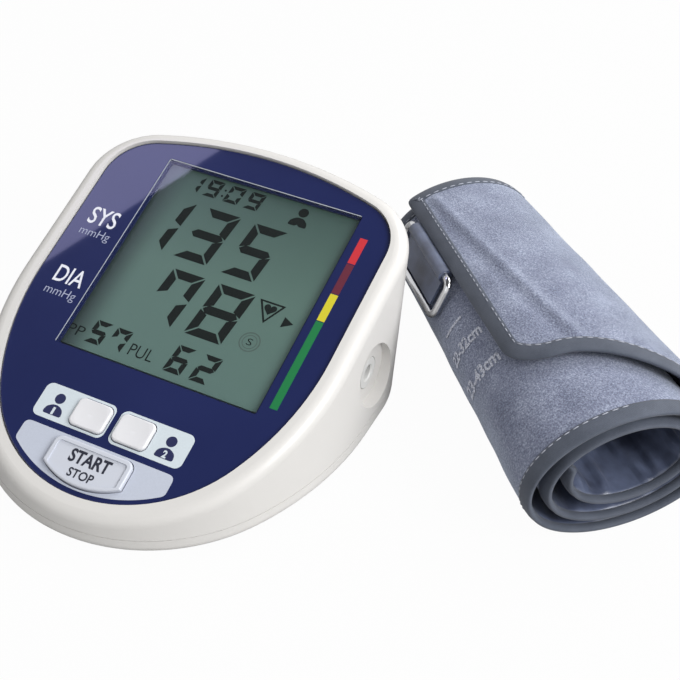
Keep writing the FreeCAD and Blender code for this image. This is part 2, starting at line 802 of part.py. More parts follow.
def battery_cells():
    cells = []
    for number in range(cell_count):
        first, last, spring_first = cell_ends(number)
        x = cell_x(number)
        can = cylinder(cell_radius, (x, first, cell_axis_z), (x, last, cell_axis_z))
        nub_from, nub_to = (last, last + cell_nub) if spring_first else (first - cell_nub, first)
        nub = cylinder(cell_nub_radius, (x, nub_from, cell_axis_z), (x, nub_to, cell_axis_z))
        cells.append(can.makeChamfer(cell_edge, can.Edges[:1] + can.Edges[2:]).fuse(nub))
    return Part.makeCompound(cells)


def battery_contacts():
    """Flat contact plates at both ends of the bay."""
    plates = []
    low, high = cell_axis_z - cell_radius + contact_margin, bay_top - contact_margin
    for number in range(cell_count):
        x = cell_x(number)
        for y in (bay_front, bay_back - contact_thickness):
            plates.append(box(x - contact_half, y, low, x + contact_half, y + contact_thickness, high))
    return Part.makeCompound(plates)


def battery_springs():
    """Bowed leaf springs at each cell's flat end."""
    springs = []
    for number in range(cell_count):
        first, last, spring_first = cell_ends(number)
        plate, can, way = (bay_front + contact_thickness, first, 1)
        if not spring_first:
            plate, can, way = (bay_back - contact_thickness, last, -1)
        x = cell_x(number) - leaf_width / 2
        rise = way * leaf_thickness
        outer = [Vector(x, plate, cell_axis_z - leaf_reach), Vector(x, can, cell_axis_z),
                 Vector(x, plate, cell_axis_z + leaf_reach)]
        inner = [Vector(x, plate, cell_axis_z - leaf_reach + leaf_foot), Vector(x, can - rise, cell_axis_z),
                 Vector(x, plate, cell_axis_z + leaf_reach - leaf_foot)]
        profile = Part.Wire([Part.Arc(*outer).toShape(), Part.LineSegment(outer[2], inner[2]).toShape(),
                             Part.Arc(*inner).toShape(), Part.LineSegment(inner[0], outer[0]).toShape()])
        springs.append(Part.Face(profile).extrude(Vector(leaf_width, 0, 0)))
    return Part.makeCompound(springs)


# ---------------------------------------------------------------- air parts and sockets

def tube_path(points, radius):
    """Straight runs joined by tangent arcs."""
    points = [Vector(*p) for p in points]
    edges, last = [], points[0]
    for before, corner, after in zip(points, points[1:], points[2:]):
        into, out = (corner - before).normalize(), (after - corner).normalize()
        half_turn = into.getAngle(out) / 2
        back = radius * math.tan(half_turn)
        start, end = corner - into * back, corner + out * back
        inward = (out - into).normalize()
        middle = corner + inward * (radius / math.cos(half_turn) - radius)
        edges.append(Part.LineSegment(last, start).toShape())
        edges.append(Part.Arc(start, middle, end).toShape())
        last = end
    edges.append(Part.LineSegment(last, points[-1]).toShape())
    return Part.Wire(edges)


def swept(path, radius):
    start = path.Edges[0]
    ring = Part.Wire(Part.makeCircle(radius, start.Vertexes[0].Point, start.tangentAt(start.FirstParameter)))
    return path.makePipeShell([ring], True, True)


def tube(points):
    path = tube_path(points, tube_bend)
    return swept(path, tube_outer).cut(swept(path, tube_bore))


def pump():
    """Small diaphragm pump: motor can, stepped head and its outlet."""
    z = floor_top + pump_lift + pump_radius
    head_end = pump_front + pump_head_length
    motor_end = head_end + pump_motor_length
    motor = cylinder(pump_radius - motor_step, (pump_x, head_end, z), (pump_x, motor_end, z))
    head = cylinder(pump_radius, (pump_x, pump_front + pump_cap, z), (pump_x, head_end, z))
    cap = cylinder(pump_radius - pump_cap_step, (pump_x, pump_front, z), (pump_x, pump_front + pump_cap, z))
    outlet = cylinder(tube_bore, (pump_x, pump_front - nozzle_length, z), (pump_x, pump_front, z))
    bearing = cylinder(bearing_radius, (pump_x, motor_end, z), (pump_x, motor_end + bearing_height, z))
    return motor.fuse([head, cap, outlet, bearing]), z


def pump_cradle(pump_z):
    """Foam-lined saddle that holds the pump on the floor of the case."""
    start = pump_front + pump_head_length + cradle_start
    end = start + cradle_length
    half = pump_radius + cradle_side
    block = box(pump_x - half, start, floor_top, pump_x + half, end, pump_z - cradle_drop)
    return block.cut(cylinder(pump_radius - motor_step, (pump_x, start - 1, pump_z), (pump_x, end + 1, pump_z)))


def valve():
    """Solenoid valve lying on the battery box."""
    z = bay_top + bay_skin + valve_radius
    back = bay_back - valve_back_gap
    front = back - valve_length
    body = cylinder(valve_radius, (valve_x, front, z), (valve_x, back, z))
    yoke = box(valve_x - valve_radius, front + yoke_inset, bay_top + bay_skin, valve_x + valve_radius,
               back - yoke_inset, z)
    port = cylinder(tube_bore, (valve_x, front - nozzle_length, z), (valve_x, front, z))
    return body.fuse([yoke, port]), z


def air_socket():
    """Socket for the cuff's air plug: flange behind the recess floor, barrel, bore and an elbow nozzle inside."""
    floor_x = recess_floor()
    flange_front = floor_x - wall
    flange_back = flange_front - socket_flange_depth
    bore_end = floor_x - socket_bore_length
    barrel = socket_line(socket_barrel, flange_back, floor_x)
    flange = socket_line(socket_barrel + socket_flange, flange_back, flange_front)
    stem = socket_line(socket_barrel - socket_stem_step, bore_end - 2 * (tube_bore + elbow_wall), flange_back)
    nozzle_x, nozzle_y = socket_nozzle()
    elbow = cylinder(tube_bore, (nozzle_x, nozzle_y, socket_z), (nozzle_x, socket_y, socket_z))
    body = barrel.fuse([flange, stem, elbow]).cut(socket_line(socket_bore, bore_end, floor_x + 1))
    mouth = [e for e in body.Edges if abs(e.BoundBox.XMin - floor_x) < 0.01 and abs(e.BoundBox.XMax - floor_x) < 0.01
             and e.Length < 2 * math.pi * socket_bore + 0.1]
    return body.makeChamfer(socket_chamfer, mouth)


def socket_nozzle():
    """Place of the elbow nozzle's tip, which points to the front."""
    return (recess_floor() - socket_bore_length - tube_bore - elbow_wall,
            socket_y - socket_barrel + socket_stem_step - nozzle_length)


def power_jack():
    """Round jack with its centre pin, flush in the rear wall."""
    mouth = rear_jack_face() + jack_proud
    back = mouth - jack_bore_length
    body = jack_line(jack_radius, back - jack_back, mouth)
    shoulder = jack_line(jack_radius + jack_flange, back - jack_back, rear_jack_face() - jack_seat_depth)
    pin = jack_line(jack_pin, back, mouth - jack_pin_sink)
    return body.fuse(shoulder).cut(jack_line(jack_bore, back, mouth + 1)).fuse(pin)


def air_block_level():
    """Height of the nozzles' axes."""
    return floor_top + tube_outer + block_lift


def air_block():
    """Moulded block on the case floor that joins the tubes."""
    level = air_block_level()
    left, back = block_x - block_half_width, block_y + block_half_depth
    block = box(left, block_y - block_half_depth, floor_top, block_x + block_half_width, back, level + tube_outer)
    block = block.makeFillet(block_round, [e for e in block.Edges if abs(e.Vertexes[0].Z - e.Vertexes[-1].Z) > 1])
    nozzles = [cylinder(tube_bore, (x, back, level), (x, back + nozzle_length, level))
               for x in (block_x - block_nozzles, block_x + block_nozzles)]
    nozzles.append(cylinder(tube_bore, (left - nozzle_length, block_y, level), (left, block_y, level)))
    return block.fuse(nozzles)


def air_tubes(pump_z, valve_z):
    """Silicone tubes pushed over the nozzles."""
    level = air_block_level()
    start = block_y + block_half_depth
    straight = nozzle_length + tube_slack
    left_x, right_x = block_x - block_nozzles, block_x + block_nozzles
    nozzle_x, nozzle_y = socket_nozzle()
    root_y = nozzle_y + nozzle_length
    to_pump = tube([(left_x, start, level), (left_x, start + straight, level),
                    (pump_x, pump_front - straight, pump_z), (pump_x, pump_front, pump_z)])
    to_socket = tube([(right_x, start, level), (right_x, start + straight, level),
                      (nozzle_x, root_y - straight, socket_z), (nozzle_x, root_y, socket_z)])
    valve_front = bay_back - valve_back_gap - valve_length
    over_bay = bay_top + bay_skin + tube_outer + tube_over_bay
    rise_x = bay_right + bay_skin + tube_outer + tube_by_bay
    to_valve = tube([(block_x - block_half_width, block_y, level), (rise_x, block_y, level),
                     (rise_x, pump_front - tube_rise_gap, over_bay), (valve_x, tube_turn_y, over_bay),
                     (valve_x, valve_front - straight, valve_z), (valve_x, valve_front, valve_z)])
    return Part.makeCompound([to_pump, to_socket, to_valve])


# ---------------------------------------------------------------- cuff
# The roll's own frame: x to its side, y along it from the near end, z up. The band of cloth winds inwards
# from its outer end at flap_angle, over the top and clockwise as seen from the near end.

cuff_frame = Placement(Vector(cuff_x, cuff_y, 0), Rotation(up, cuff_turn))


def at_cuff(shape):
    shape.Placement = cuff_frame.multiply(shape.Placement)
    return shape


def roll_scale(s):
    return 1 - (1 - far_scale) * s / cuff_length


def roll_point(turn, depth, s):
    """Point of the band at a number of turns from the outer end, a depth under its outside and a distance s along."""
    middle_z = binding_proud + near_half_height - turn_rise * (flap_angle + 90.0) / 360.0
    middle_z += tail_lift * max(0.0, turn - roll_turns + 1.0) ** 2
    angle = math.radians(flap_angle) - 2 * math.pi * turn
    half_width = near_half_width - turn_pitch * turn - depth
    half_height = near_half_height - turn_rise * turn - depth
    scale = roll_scale(s)
    return Vector(scale * half_width * math.cos(angle), s, scale * (middle_z + half_height * math.sin(angle)))


def roll_section(turn_from, turn_to, depth_from, depth_to, s):
    """Closed outline of a layer: its outer side inwards from the outer end, then its inner side back."""
    strips = max(1, round((turn_to - turn_from) * roll_facets))
    turns = [turn_from + (turn_to - turn_from) * i / strips for i in range(strips + 1)]
    points = [roll_point(turn, depth_from, s) for turn in turns]
    points += [roll_point(turn, depth_to, s) for turn in reversed(turns)]
    return Part.makePolygon(points + points[:1])


def roll_band(turn_from, turn_to, depth_from, depth_to, s_from, s_to):
    """A layer of the rolled band as a solid: a loft between its outlines at two stations."""
    near = roll_section(turn_from, turn_to, depth_from, depth_to, s_from)
    far = roll_section(turn_from, turn_to, depth_from, depth_to, s_to)
    return Part.makeLoft([near, far], True, True)


def flap_cutter(outset=0.0):
    """The corner that is missing from the band's outer end, seen from above."""
    front = flap_setback - outset
    x_from = roll_point(0, 0, front).x - cutter_margin
    x_corner = roll_point(0, 0, front).x
    x_top = roll_point((flap_angle - 90) / 360, 0, front).x
    x_end = roll_point(flap_share, 0, 0).x + sweep_end
    points = [Vector(x_from, -cutter_margin, 0), Vector(x_from, front + flap_corner, 0),
              Vector(x_corner, front + flap_corner, 0)]
    bend = flap_corner * (1 - math.sqrt(0.5))
    edges = [Part.LineSegment(a, b).toShape() for a, b in zip(points, points[1:])]
    edges.append(Part.Arc(points[-1], Vector(x_corner + bend, front + bend, 0),
                          Vector(x_corner + flap_corner, front, 0)).toShape())
    sweep = Part.BezierCurve()
    end = Vector(x_end, -sweep_past, 0)
    low = Vector(x_end, -cutter_margin, 0)
    sweep.setPoles([Vector(x_corner + flap_corner, front, 0), Vector(x_top, front - sweep_dip, 0),
                    Vector(x_top + sweep_run, front * 0.55, 0), end])
    edges.append(sweep.toShape())
    edges.append(Part.LineSegment(end, low).toShape())
    edges.append(Part.LineSegment(low, points[0]).toShape())
    return Part.Face(Part.Wire(edges)).extrude(Vector(0, 0, reach))


def flap_layer(depth_from, depth_to, turn_to):
    """One layer of the band inside its binding, from the cut-away outer end to a given turn."""
    ends = (binding_width, cuff_length - binding_width)
    flap = roll_band(edge_turn, flap_share, depth_from, depth_to, *ends).cut(flap_cutter(-binding_width))
    return flap.fuse(roll_band(flap_share, turn_to, depth_from, depth_to, *ends))


def cuff_cover():
    return at_cuff(flap_layer(0, cover_thickness, seam_turn))


def inner_cover():
    """The covers' inner part, sewn on at the seam."""
    return at_cuff(roll_band(seam_turn, roll_turns, 0, cover_thickness, binding_width, cuff_length - binding_width))


def cuff_liner():
    return at_cuff(flap_layer(cover_thickness + bladder_room, roll_thickness, roll_turns))


def cuff_bladder():
    depth_from = cover_thickness + bladder_play
    depth_to = cover_thickness + bladder_room - bladder_play
    return at_cuff(roll_band(bladder_start, bladder_end, depth_from, depth_to, bladder_margin,
                             cuff_length - bladder_margin))


def binding_band(turn_from, turn_to, s_from, s_to, outset=0.0):
    """Full depth of the binding tape, which stands proud of the cloth on both sides."""
    return roll_band(turn_from, turn_to, -binding_proud - outset, roll_thickness + binding_proud + outset,
                     s_from, s_to)


def binding_near():
    return at_cuff(binding_band(flap_share, roll_turns, 0, binding_width))


def binding_far():
    return at_cuff(binding_band(0, roll_turns, cuff_length - binding_width, cuff_length))


def binding_flap():
    """Tape along the cut-away corner and the free edge of the outer end."""
    flap = binding_band(0, flap_share, 0, cuff_length - binding_width).cut(flap_cutter())
    strip = binding_band(0, edge_turn, -1, cuff_length, 1.0)
    return at_cuff(flap.common(flap_cutter(-binding_width)).fuse(flap.common(strip)))


def hook_patch():
    """Hook tape on the inner side of the outer end."""
    patch = roll_band(edge_turn * 2, flap_share - edge_turn * 4, roll_thickness + hook_gap,
                      roll_thickness + hook_gap + hook_thickness,
                      binding_width, cuff_length - binding_width - hook_margin)
    return at_cuff(patch.cut(flap_cutter(-binding_width - hook_margin)))


def bow_frame():
    """Bow at rest: origin at one end of its hinge bar, u along the bar, r from the bar to the outer bar."""
    hem_radius = bow_wire + hem_clearance + hem_wall
    turn = -(hem_radius + hem_gap) / (2 * math.pi * near_half_width * far_scale)
    ends = [roll_point(turn, roll_thickness / 2, s) for s in (bow_start, bow_start + bow_length)]
    along = (ends[1] - ends[0]).normalize()
    # the outer bar rests on the turn below, one bow width away
    low, high = 0.0, 0.2
    for _ in range(40):
        middle = (low + high) / 2
        rest = roll_point(1 + turn - middle, -bow_wire - bow_lift, bow_start)
        if (rest - ends[0]).Length < bow_width:
            low = middle
        else:
            high = middle
    across = rest - ends[0]
    across = (across - along * across.dot(along)).normalize()
    return ends[0], along, across


def at_bow(shape):
    """Moves a shape from the bow's own u, r and n to the cuff's place."""
    origin, along, across = bow_frame()
    out = along.cross(across)
    place = Placement(FreeCAD.Matrix(along.x, across.x, out.x, origin.x, along.y, across.y, out.y, origin.y,
                                     along.z, across.z, out.z, origin.z, 0, 0, 0, 1))
    shape.Placement = place.multiply(shape.Placement)
    return at_cuff(shape)


def metal_bow():
    """Rectangular wire ring through which the cuff's end is passed."""
    path = rounded_rectangle(bow_length / 2, bow_width / 2, bow_corner, (bow_length / 2, bow_width / 2))
    return at_bow(swept(path, bow_wire))


def bow_hem():
    """Sewn loop of tape round the bow's hinge bar, with a tongue that fills the bow."""
    margin = bow_corner + hem_margin
    length = bow_length - 2 * margin
    inner = bow_wire + hem_clearance
    loop = cylinder(inner + hem_wall, (margin, 0, 0), (margin + length, 0, 0))
    tongue = box(margin, 0, -tongue_thickness / 2, margin + length, bow_width - bow_wire - tongue_gap,
                 tongue_thickness / 2)
    return at_bow(loop.fuse(tongue).cut(cylinder(inner, (0, 0, 0), (bow_length, 0, 0))))


# ---------------------------------------------------------------- the set

def build():
    form = outer_form()
    pump_form, pump_z = pump()
    valve_form, valve_z = valve()
    return {
        "upper_case": upper_case(form),
        "lower_case": lower_case(form),
        "battery_door": battery_door(form),
        "case_screws": case_screws(),
        "rubber_feet": feet(),
        "face_plate": face_plate(),
        "display_window": display_window(),
        "lcd_glass": lcd_glass(),
        "lcd_frame": lcd_frame(),
        "contact_strips": contact_strips(),
        "start_key": start_key(),
        "user_key_1": user_key(-1),
        "user_key_2": user_key(1),
        "key_mat": key_mat(),
        "main_board": main_board(),
        "board_screws": board_screws(),
        "board_chips": board_chips(),
        "pressure_sensor": pressure_sensor(),
        "buzzer": buzzer(),
        "battery_cells": battery_cells(),
        "battery_contacts": battery_contacts(),
        "battery_springs": battery_springs(),
        "air_pump": pump_form,
        "pump_cradle": pump_cradle(pump_z),
        "air_valve": valve_form,
        "air_block": air_block(),
        "air_tubes": air_tubes(pump_z, valve_z),
        "air_socket": air_socket(),
        "power_jack": power_jack(),
        "cuff_cover": cuff_cover(),
        "inner_cover": inner_cover(),
        "cuff_liner": cuff_liner(),
        "cuff_bladder": cuff_bladder(),
        "binding_near": binding_near(),
        "binding_far": binding_far(),
        "binding_flap": binding_flap(),
        "hook_patch": hook_patch(),
        "metal_bow": metal_bow(),
        "bow_hem": bow_hem(),
    }


def set_origin(pieces):
    """Vector that brings the middle of the whole set's base to the origin."""
    boxes = [piece.optimalBoundingBox(True, False) for piece in pieces.values()]
    middle_x = (min(b.XMin for b in boxes) + max(b.XMax for b in boxes)) / 2
    middle_y = (min(b.YMin for b in boxes) + max(b.YMax for b in boxes)) / 2
    return Vector(-middle_x, -middle_y, 0)


nodes = build()
shift = set_origin(nodes)
os.makedirs("parts", exist_ok=True)
for name, shape in nodes.items():
    shape.translate(shift)
    shape.exportStep("parts/" + name + ".step")
print(len(nodes), "nodes, origin moved by", shift)
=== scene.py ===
import json
import math

import bpy
from mathutils import Matrix, Vector, noise


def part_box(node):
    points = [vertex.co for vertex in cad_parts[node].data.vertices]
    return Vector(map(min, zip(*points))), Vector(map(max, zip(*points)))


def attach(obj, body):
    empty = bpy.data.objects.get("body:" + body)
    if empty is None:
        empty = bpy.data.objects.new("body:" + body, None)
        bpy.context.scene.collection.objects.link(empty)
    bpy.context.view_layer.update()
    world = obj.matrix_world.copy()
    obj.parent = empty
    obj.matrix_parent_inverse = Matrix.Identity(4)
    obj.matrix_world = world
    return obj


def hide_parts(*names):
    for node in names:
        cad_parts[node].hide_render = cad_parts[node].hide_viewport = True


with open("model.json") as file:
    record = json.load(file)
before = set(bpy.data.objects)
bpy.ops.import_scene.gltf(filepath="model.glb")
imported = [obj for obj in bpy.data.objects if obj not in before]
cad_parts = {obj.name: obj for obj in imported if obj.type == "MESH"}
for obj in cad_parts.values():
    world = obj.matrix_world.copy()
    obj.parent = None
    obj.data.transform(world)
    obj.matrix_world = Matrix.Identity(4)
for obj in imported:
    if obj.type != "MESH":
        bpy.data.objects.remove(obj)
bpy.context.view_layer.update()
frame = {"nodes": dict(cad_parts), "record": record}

# The monitor's face is drawn in its own millimetres: x to the right, v up the slope and the level over the plate.
# The roll is drawn by turns from its outer end, depth under its outside and station s along it.
face = {"tilt": 18.0, "height": 0.0385, "displayOffset": 0.0032, "windowMiddle": 0.0007}
windowLow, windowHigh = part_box("display_window")
tilt = math.radians(face["tilt"])
monitorX = (windowLow.x + windowHigh.x) / 2 - face["displayOffset"]
monitorY = (windowLow.y + windowHigh.y) / 2 - face["windowMiddle"] * math.sin(tilt)
faceMiddle = Vector((monitorX, monitorY, face["height"]))
faceFrame = Matrix.Translation(faceMiddle) @ Matrix.Rotation(tilt, 4, "X") @ Matrix.Scale(0.001, 4)


def paint(red, green, blue):  # a screen colour as the shader wants it
    parts = [part / 255 for part in (red, green, blue)]
    return tuple(part / 12.92 if part < 0.04045 else ((part + 0.055) / 1.055) ** 2.4 for part in parts) + (1.0,)


def dimmed(color, share):
    return tuple(part * share for part in color[:3]) + (1.0,)


class Wire:  # one output of a node, which can be used in sums
    def __init__(self, nodes, socket):
        self.nodes, self.socket = nodes, socket

    def math(self, operation, *others):
        return self.nodes.node("Math", {"operation": operation}, [self, *others])

    def __add__(self, other):
        return self.math("ADD", other)

    def __mul__(self, other):
        return self.math("MULTIPLY", other)

    def __sub__(self, other):
        return self.math("SUBTRACT", other)

    def __rsub__(self, other):
        return self.nodes.node("Math", {"operation": "SUBTRACT"}, [other, self])

    __radd__ = __add__
    __rmul__ = __mul__


class NodeTree:  # the nodes of a material or of the world
    def __init__(self, owner, kind):
        owner.use_nodes = True
        self.tree = owner.node_tree
        self.tree.nodes.clear()
        self.end = self.tree.nodes.new("ShaderNodeOutput" + kind)

    def node(self, kind, settings, sockets=(), out=0):
        made = self.tree.nodes.new("ShaderNode" + kind)
        for key, value in settings.items():
            if key == "stops":  # a ramp's places and colours
                ramp = made.color_ramp.elements
                while len(ramp) < len(value):
                    ramp.new(0.5)
                for stop, (place, color) in zip(ramp, value):
                    stop.position, stop.color = place, color
            else:
                setattr(made, key, value)
        for place, value in (sockets.items() if isinstance(sockets, dict) else enumerate(sockets)):
            if isinstance(value, Wire):
                self.tree.links.new(value.socket, made.inputs[place])
            elif value is not None:
                made.inputs[place].default_value = value
        return Wire(self, made.outputs[out])

    def show(self, wire):
        self.tree.links.new(wire.socket, self.end.inputs[0])


class Finish(NodeTree):
    def __init__(self, name):
        self.material = bpy.data.materials.new(name)
        super().__init__(self.material, "Material")

    def place(self):  # the piece's own coordinates, so that nothing slides when it moves
        return self.node("TexCoord", {}, out="Object")

    def along(self, axis):
        return self.node("SeparateXYZ", {}, [self.place()], out=axis)

    def grain(self, size, detail=2.0, rough=0.5, stretch=None):  # noise with spots of this size in millimetres
        where = self.place()
        if stretch:
            where = self.node("Mapping", {}, {"Vector": where, "Scale": stretch})
        return self.node("TexNoise", {}, {"Vector": where, "Scale": 1000 / size, "Detail": detail,
                                          "Roughness": rough})

    def blend(self, factor, first, second):
        return self.node("Mix", {"data_type": "RGBA"}, {0: factor, 6: first, 7: second}, out=2)

    def ramp(self, factor, *stops):
        return self.node("ValToRGB", {"stops": stops}, [factor])

    def bump(self, height, depth):  # depth in millimetres
        return self.node("Bump", {}, {"Height": height, "Distance": depth / 1000, "Strength": 1.0})

    def shade(self, sockets):
        self.show(self.node("BsdfPrincipled", {}, sockets))
        return self.material


mould = {"broad": 22.0, "mottle": 2.5}


def moulded(name, color, roughness, size=0.5, depth=0.004, mottle=0.03, spread=0.12, **more):
    # moulded plastic or rubber: fine texture in the gloss and a trace of unevenness in the colour
    made = Finish(name)
    fine, broad = made.grain(size), made.grain(mould["broad"])
    darker = dimmed(color, 1 - mould["mottle"] * mottle)
    return made.shade({"Base Color": made.blend(broad, darker, color), "Normal": made.bump(fine, depth),
                       "Roughness": fine * spread + (roughness - spread / 2), **more})


brushed = {"line": 0.25, "depth": 0.002, "darker": 0.8, "spread": 0.14}


def metal(name, color, roughness, stretch=(1, 1, 1)):
    made = Finish(name)
    lines = made.grain(brushed["line"], 3.0, stretch=stretch)
    return made.shade({"Base Color": made.blend(lines, dimmed(color, brushed["darker"]), color), "Metallic": 1.0,
                       "Roughness": lines * brushed["spread"] + (roughness - brushed["spread"] / 2),
                       "Normal": made.bump(lines, brushed["depth"])})


pile = {"tuft": 0.55, "loop": 0.22, "cloud": 12.0, "depth": 0.3}  # spots and depth in millimetres


def velour():
    # loop pile: tufts, a broad cloudiness where the pile lies differently, and a soft sheen
    made = Finish("velourPile")
    tuft, loop = made.grain(pile["tuft"], 3.0, 0.6), made.grain(pile["loop"])
    shades = tuft * 0.5 + loop * 0.3 + made.grain(pile["cloud"], 3.0) * 0.2
    color = made.ramp(shades, (0.37, paint(86, 91, 112)), (0.5, paint(125, 131, 153)), (0.63, paint(174, 181, 202)))
    return made.shade({"Base Color": color, "Roughness": 0.95, "Sheen Weight": 1.0, "Sheen Roughness": 0.35,
                       "Sheen Tint": paint(222, 232, 246), "Specular IOR Level": 0.2,
                       "Normal": made.bump(tuft * 0.7 + loop * 0.5, pile["depth"])})


weave = {"rib": 1100.0, "thread": 0.3, "cloud": 7.0, "depth": 0.05}


def wovenTape(name, dark, light):
    made = Finish(name)
    ribs = made.node("TexWave", {"wave_type": "BANDS", "bands_direction": "DIAGONAL"},
                     {"Vector": made.place(), "Scale": weave["rib"], "Distortion": 0.8, "Detail": 1.0})
    thread = made.grain(weave["thread"])
    shades = ribs * 0.2 + thread * 0.4 + made.grain(weave["cloud"]) * 0.4
    return made.shade({"Base Color": made.ramp(shades, (0.3, dark), (0.7, light)), "Roughness": thread * 0.2 + 0.6,
                       "Normal": made.bump(shades, weave["depth"]), "Sheen Weight": 0.12,
                       "Specular IOR Level": 0.35})


lining = {"threads": 900.0, "cloud": 9.0, "depth": 0.03}


def coatedNylon():
    # smooth lining with fine threads both ways under a soft shine
    made = Finish("coatedNylon")
    across, along = [made.node("TexWave", {"bands_direction": axis},
                               {"Vector": made.place(), "Scale": lining["threads"]}) for axis in "XZ"]
    cloud = made.grain(lining["cloud"], 3.0)
    color = made.ramp(cloud, (0.3, paint(54, 60, 79)), (0.75, paint(98, 108, 134)))
    return made.shade({"Base Color": color, "Roughness": cloud * 0.2 + 0.24, "Sheen Weight": 0.1,
                       "Specular IOR Level": 0.7, "Normal": made.bump(across * 0.5 + along * 0.5, lining["depth"])})


gloss = {"broad": 30.0, "fine": 2.5, "depth": 0.0006}


def printedPlate():
    # dark blue print under a clear glossy skin
    made = Finish("plateNavy")
    broad, fine = made.grain(gloss["broad"]), made.grain(gloss["fine"])
    return made.shade({"Base Color": made.blend(broad, paint(22, 31, 76), paint(30, 39, 87)),
                       "Roughness": fine * 0.06 + 0.3, "Coat Weight": 1.0, "Coat Roughness": 0.03,
                       "Specular IOR Level": 0.1, "Normal": made.bump(fine, gloss["depth"])})


pane = {"steep": 5.0, "gain": 0.96, "least": 0.035}  # how the shine grows towards grazing


def clearWindow():
    made = Finish("windowClear")
    through = made.node("BsdfTransparent", {}, {"Color": (0.97, 0.99, 0.98, 1.0)})
    shine = made.node("BsdfGlossy", {}, {"Color": (1, 1, 1, 1), "Roughness": 0.02})
    facing = made.node("LayerWeight", {}, {"Blend": 0.5}, out="Facing")
    share = facing.math("POWER", pane["steep"]) * pane["gain"] + pane["least"]
    made.show(made.node("MixShader", {}, [share, through, shine]))
    return made.material


# low and high bound the painted shade up the slope, and edge is the width of the painted shadow along the left edge
groundAndShade = {"low": 0.036, "high": 0.038, "edge": 0.012, "fine": 0.4}


def displayGroundAndShade():
    # grey-green liquid crystal ground, with painted shade that darkens it up the slope and a painted shadow of the
    # window frame along its left edge
    made = Finish("displayGroundAndShade")
    fine = made.grain(groundAndShade["fine"])
    rise = made.node("MapRange", {}, {0: made.along("Y"), 1: monitorY - groundAndShade["low"], 2: monitorY + groundAndShade["high"]})
    # painted shadow of the window frame: darkest at the window's left edge, fading over the edge width
    inward = made.node("MapRange", {"interpolation_type": "SMOOTHSTEP"},
                       {0: made.along("X"), 1: windowLow.x, 2: windowLow.x + groundAndShade["edge"]})
    # painted shade: the ground's colour darkens up the slope
    color = made.ramp(rise * 0.94 + fine * 0.06, (0.0, paint(96, 120, 116)), (0.5, paint(94, 118, 111)),
                      (1.0, paint(60, 81, 76)))
    return made.shade({"Base Color": made.blend(inward, paint(46, 58, 58), color), "Roughness": fine * 0.1 + 0.32})


coat = {"spot": 0.5, "darker": 0.88, "bare": 0.05, "full": 0.1}


def printInk(name, color, rough=0.45, wear=0.0, shine=0.5):
    # thin printed coat; with wear, the cloth shows through it in spots
    made = Finish(name)
    spots = made.grain(coat["spot"])
    sockets = {"Base Color": made.blend(spots, dimmed(color, coat["darker"]), color),
               "Roughness": spots * 0.1 + rough, "Specular IOR Level": shine}
    if wear:
        sockets["Alpha"] = made.node("MapRange", {}, {0: spots, 1: wear - coat["bare"], 2: wear + coat["full"]})
    return made.shade(sockets)


finishes = {
    "case_white": moulded("caseWhite", paint(211, 209, 206), 0.3, 1.4, 0.0002, 0.004, 0.03,
                          **{"Specular IOR Level": 0.4}),
    "door_white": moulded("doorWhite", paint(220, 218, 213), 0.45, mottle=0.01),
    "screw_steel": metal("screwSteel", paint(178, 178, 182), 0.35),
    "foot_rubber": moulded("footRubber", paint(62, 62, 64), 0.8, depth=0.02),
    "plate_navy": printedPlate(),
    "window_clear": clearWindow(),
    "lcd_grey": displayGroundAndShade(),
    "frame_grey": moulded("frameGrey", paint(120, 124, 122), 0.6),
    "strip_rubber": moulded("stripRubber", paint(150, 120, 140), 0.7),
    "start_grey": moulded("startGrey", paint(198, 202, 212), 0.34, 1.0, 0.001, 0.015, 0.06),
    "key_white": moulded("keyWhite", paint(219, 219, 222), 0.32, 1.0, 0.001, 0.008, 0.06),
    "mat_rubber": moulded("matRubber", paint(190, 190, 194), 0.75),
    "board_green": moulded("boardGreen", paint(34, 92, 52), 0.4, size=1.2, mottle=0.1),
    "chip_black": moulded("chipBlack", paint(36, 36, 38), 0.6),
    "sensor_white": moulded("sensorWhite", paint(220, 220, 212), 0.5),
    "cell_wrap": moulded("cellWrap", paint(52, 56, 66), 0.3, mottle=0.05),
    "contact_nickel": metal("contactNickel", paint(200, 200, 202), 0.22),
    "pump_steel": metal("pumpSteel", paint(180, 180, 184), 0.3, stretch=(1, 12, 1)),
    "foam_black": moulded("foamBlack", paint(40, 40, 42), 0.95, size=0.8, depth=0.15),
    "valve_steel": metal("valveSteel", paint(170, 170, 176), 0.3),
    "block_grey": moulded("blockGrey", paint(196, 196, 196), 0.5),
    "tube_silicone": moulded("tubeSilicone", paint(222, 220, 210), 0.4),
    "socket_grey": moulded("socketGrey", paint(212, 212, 210), 0.4),
    "jack_black": moulded("jackBlack", paint(34, 34, 36), 0.45),
    "velour_blue_grey": velour(),
    "liner_navy": coatedNylon(),
    "bladder_film": moulded("bladderFilm", paint(130, 130, 140), 0.3),
    "binding_tape": wovenTape("bindingTape", paint(60, 66, 78), paint(88, 94, 107)),
    "hook_tape": wovenTape("hookTape", paint(52, 55, 66), paint(84, 88, 104)),
    "bow_chrome": metal("bowChrome", paint(214, 215, 218), 0.12),
}
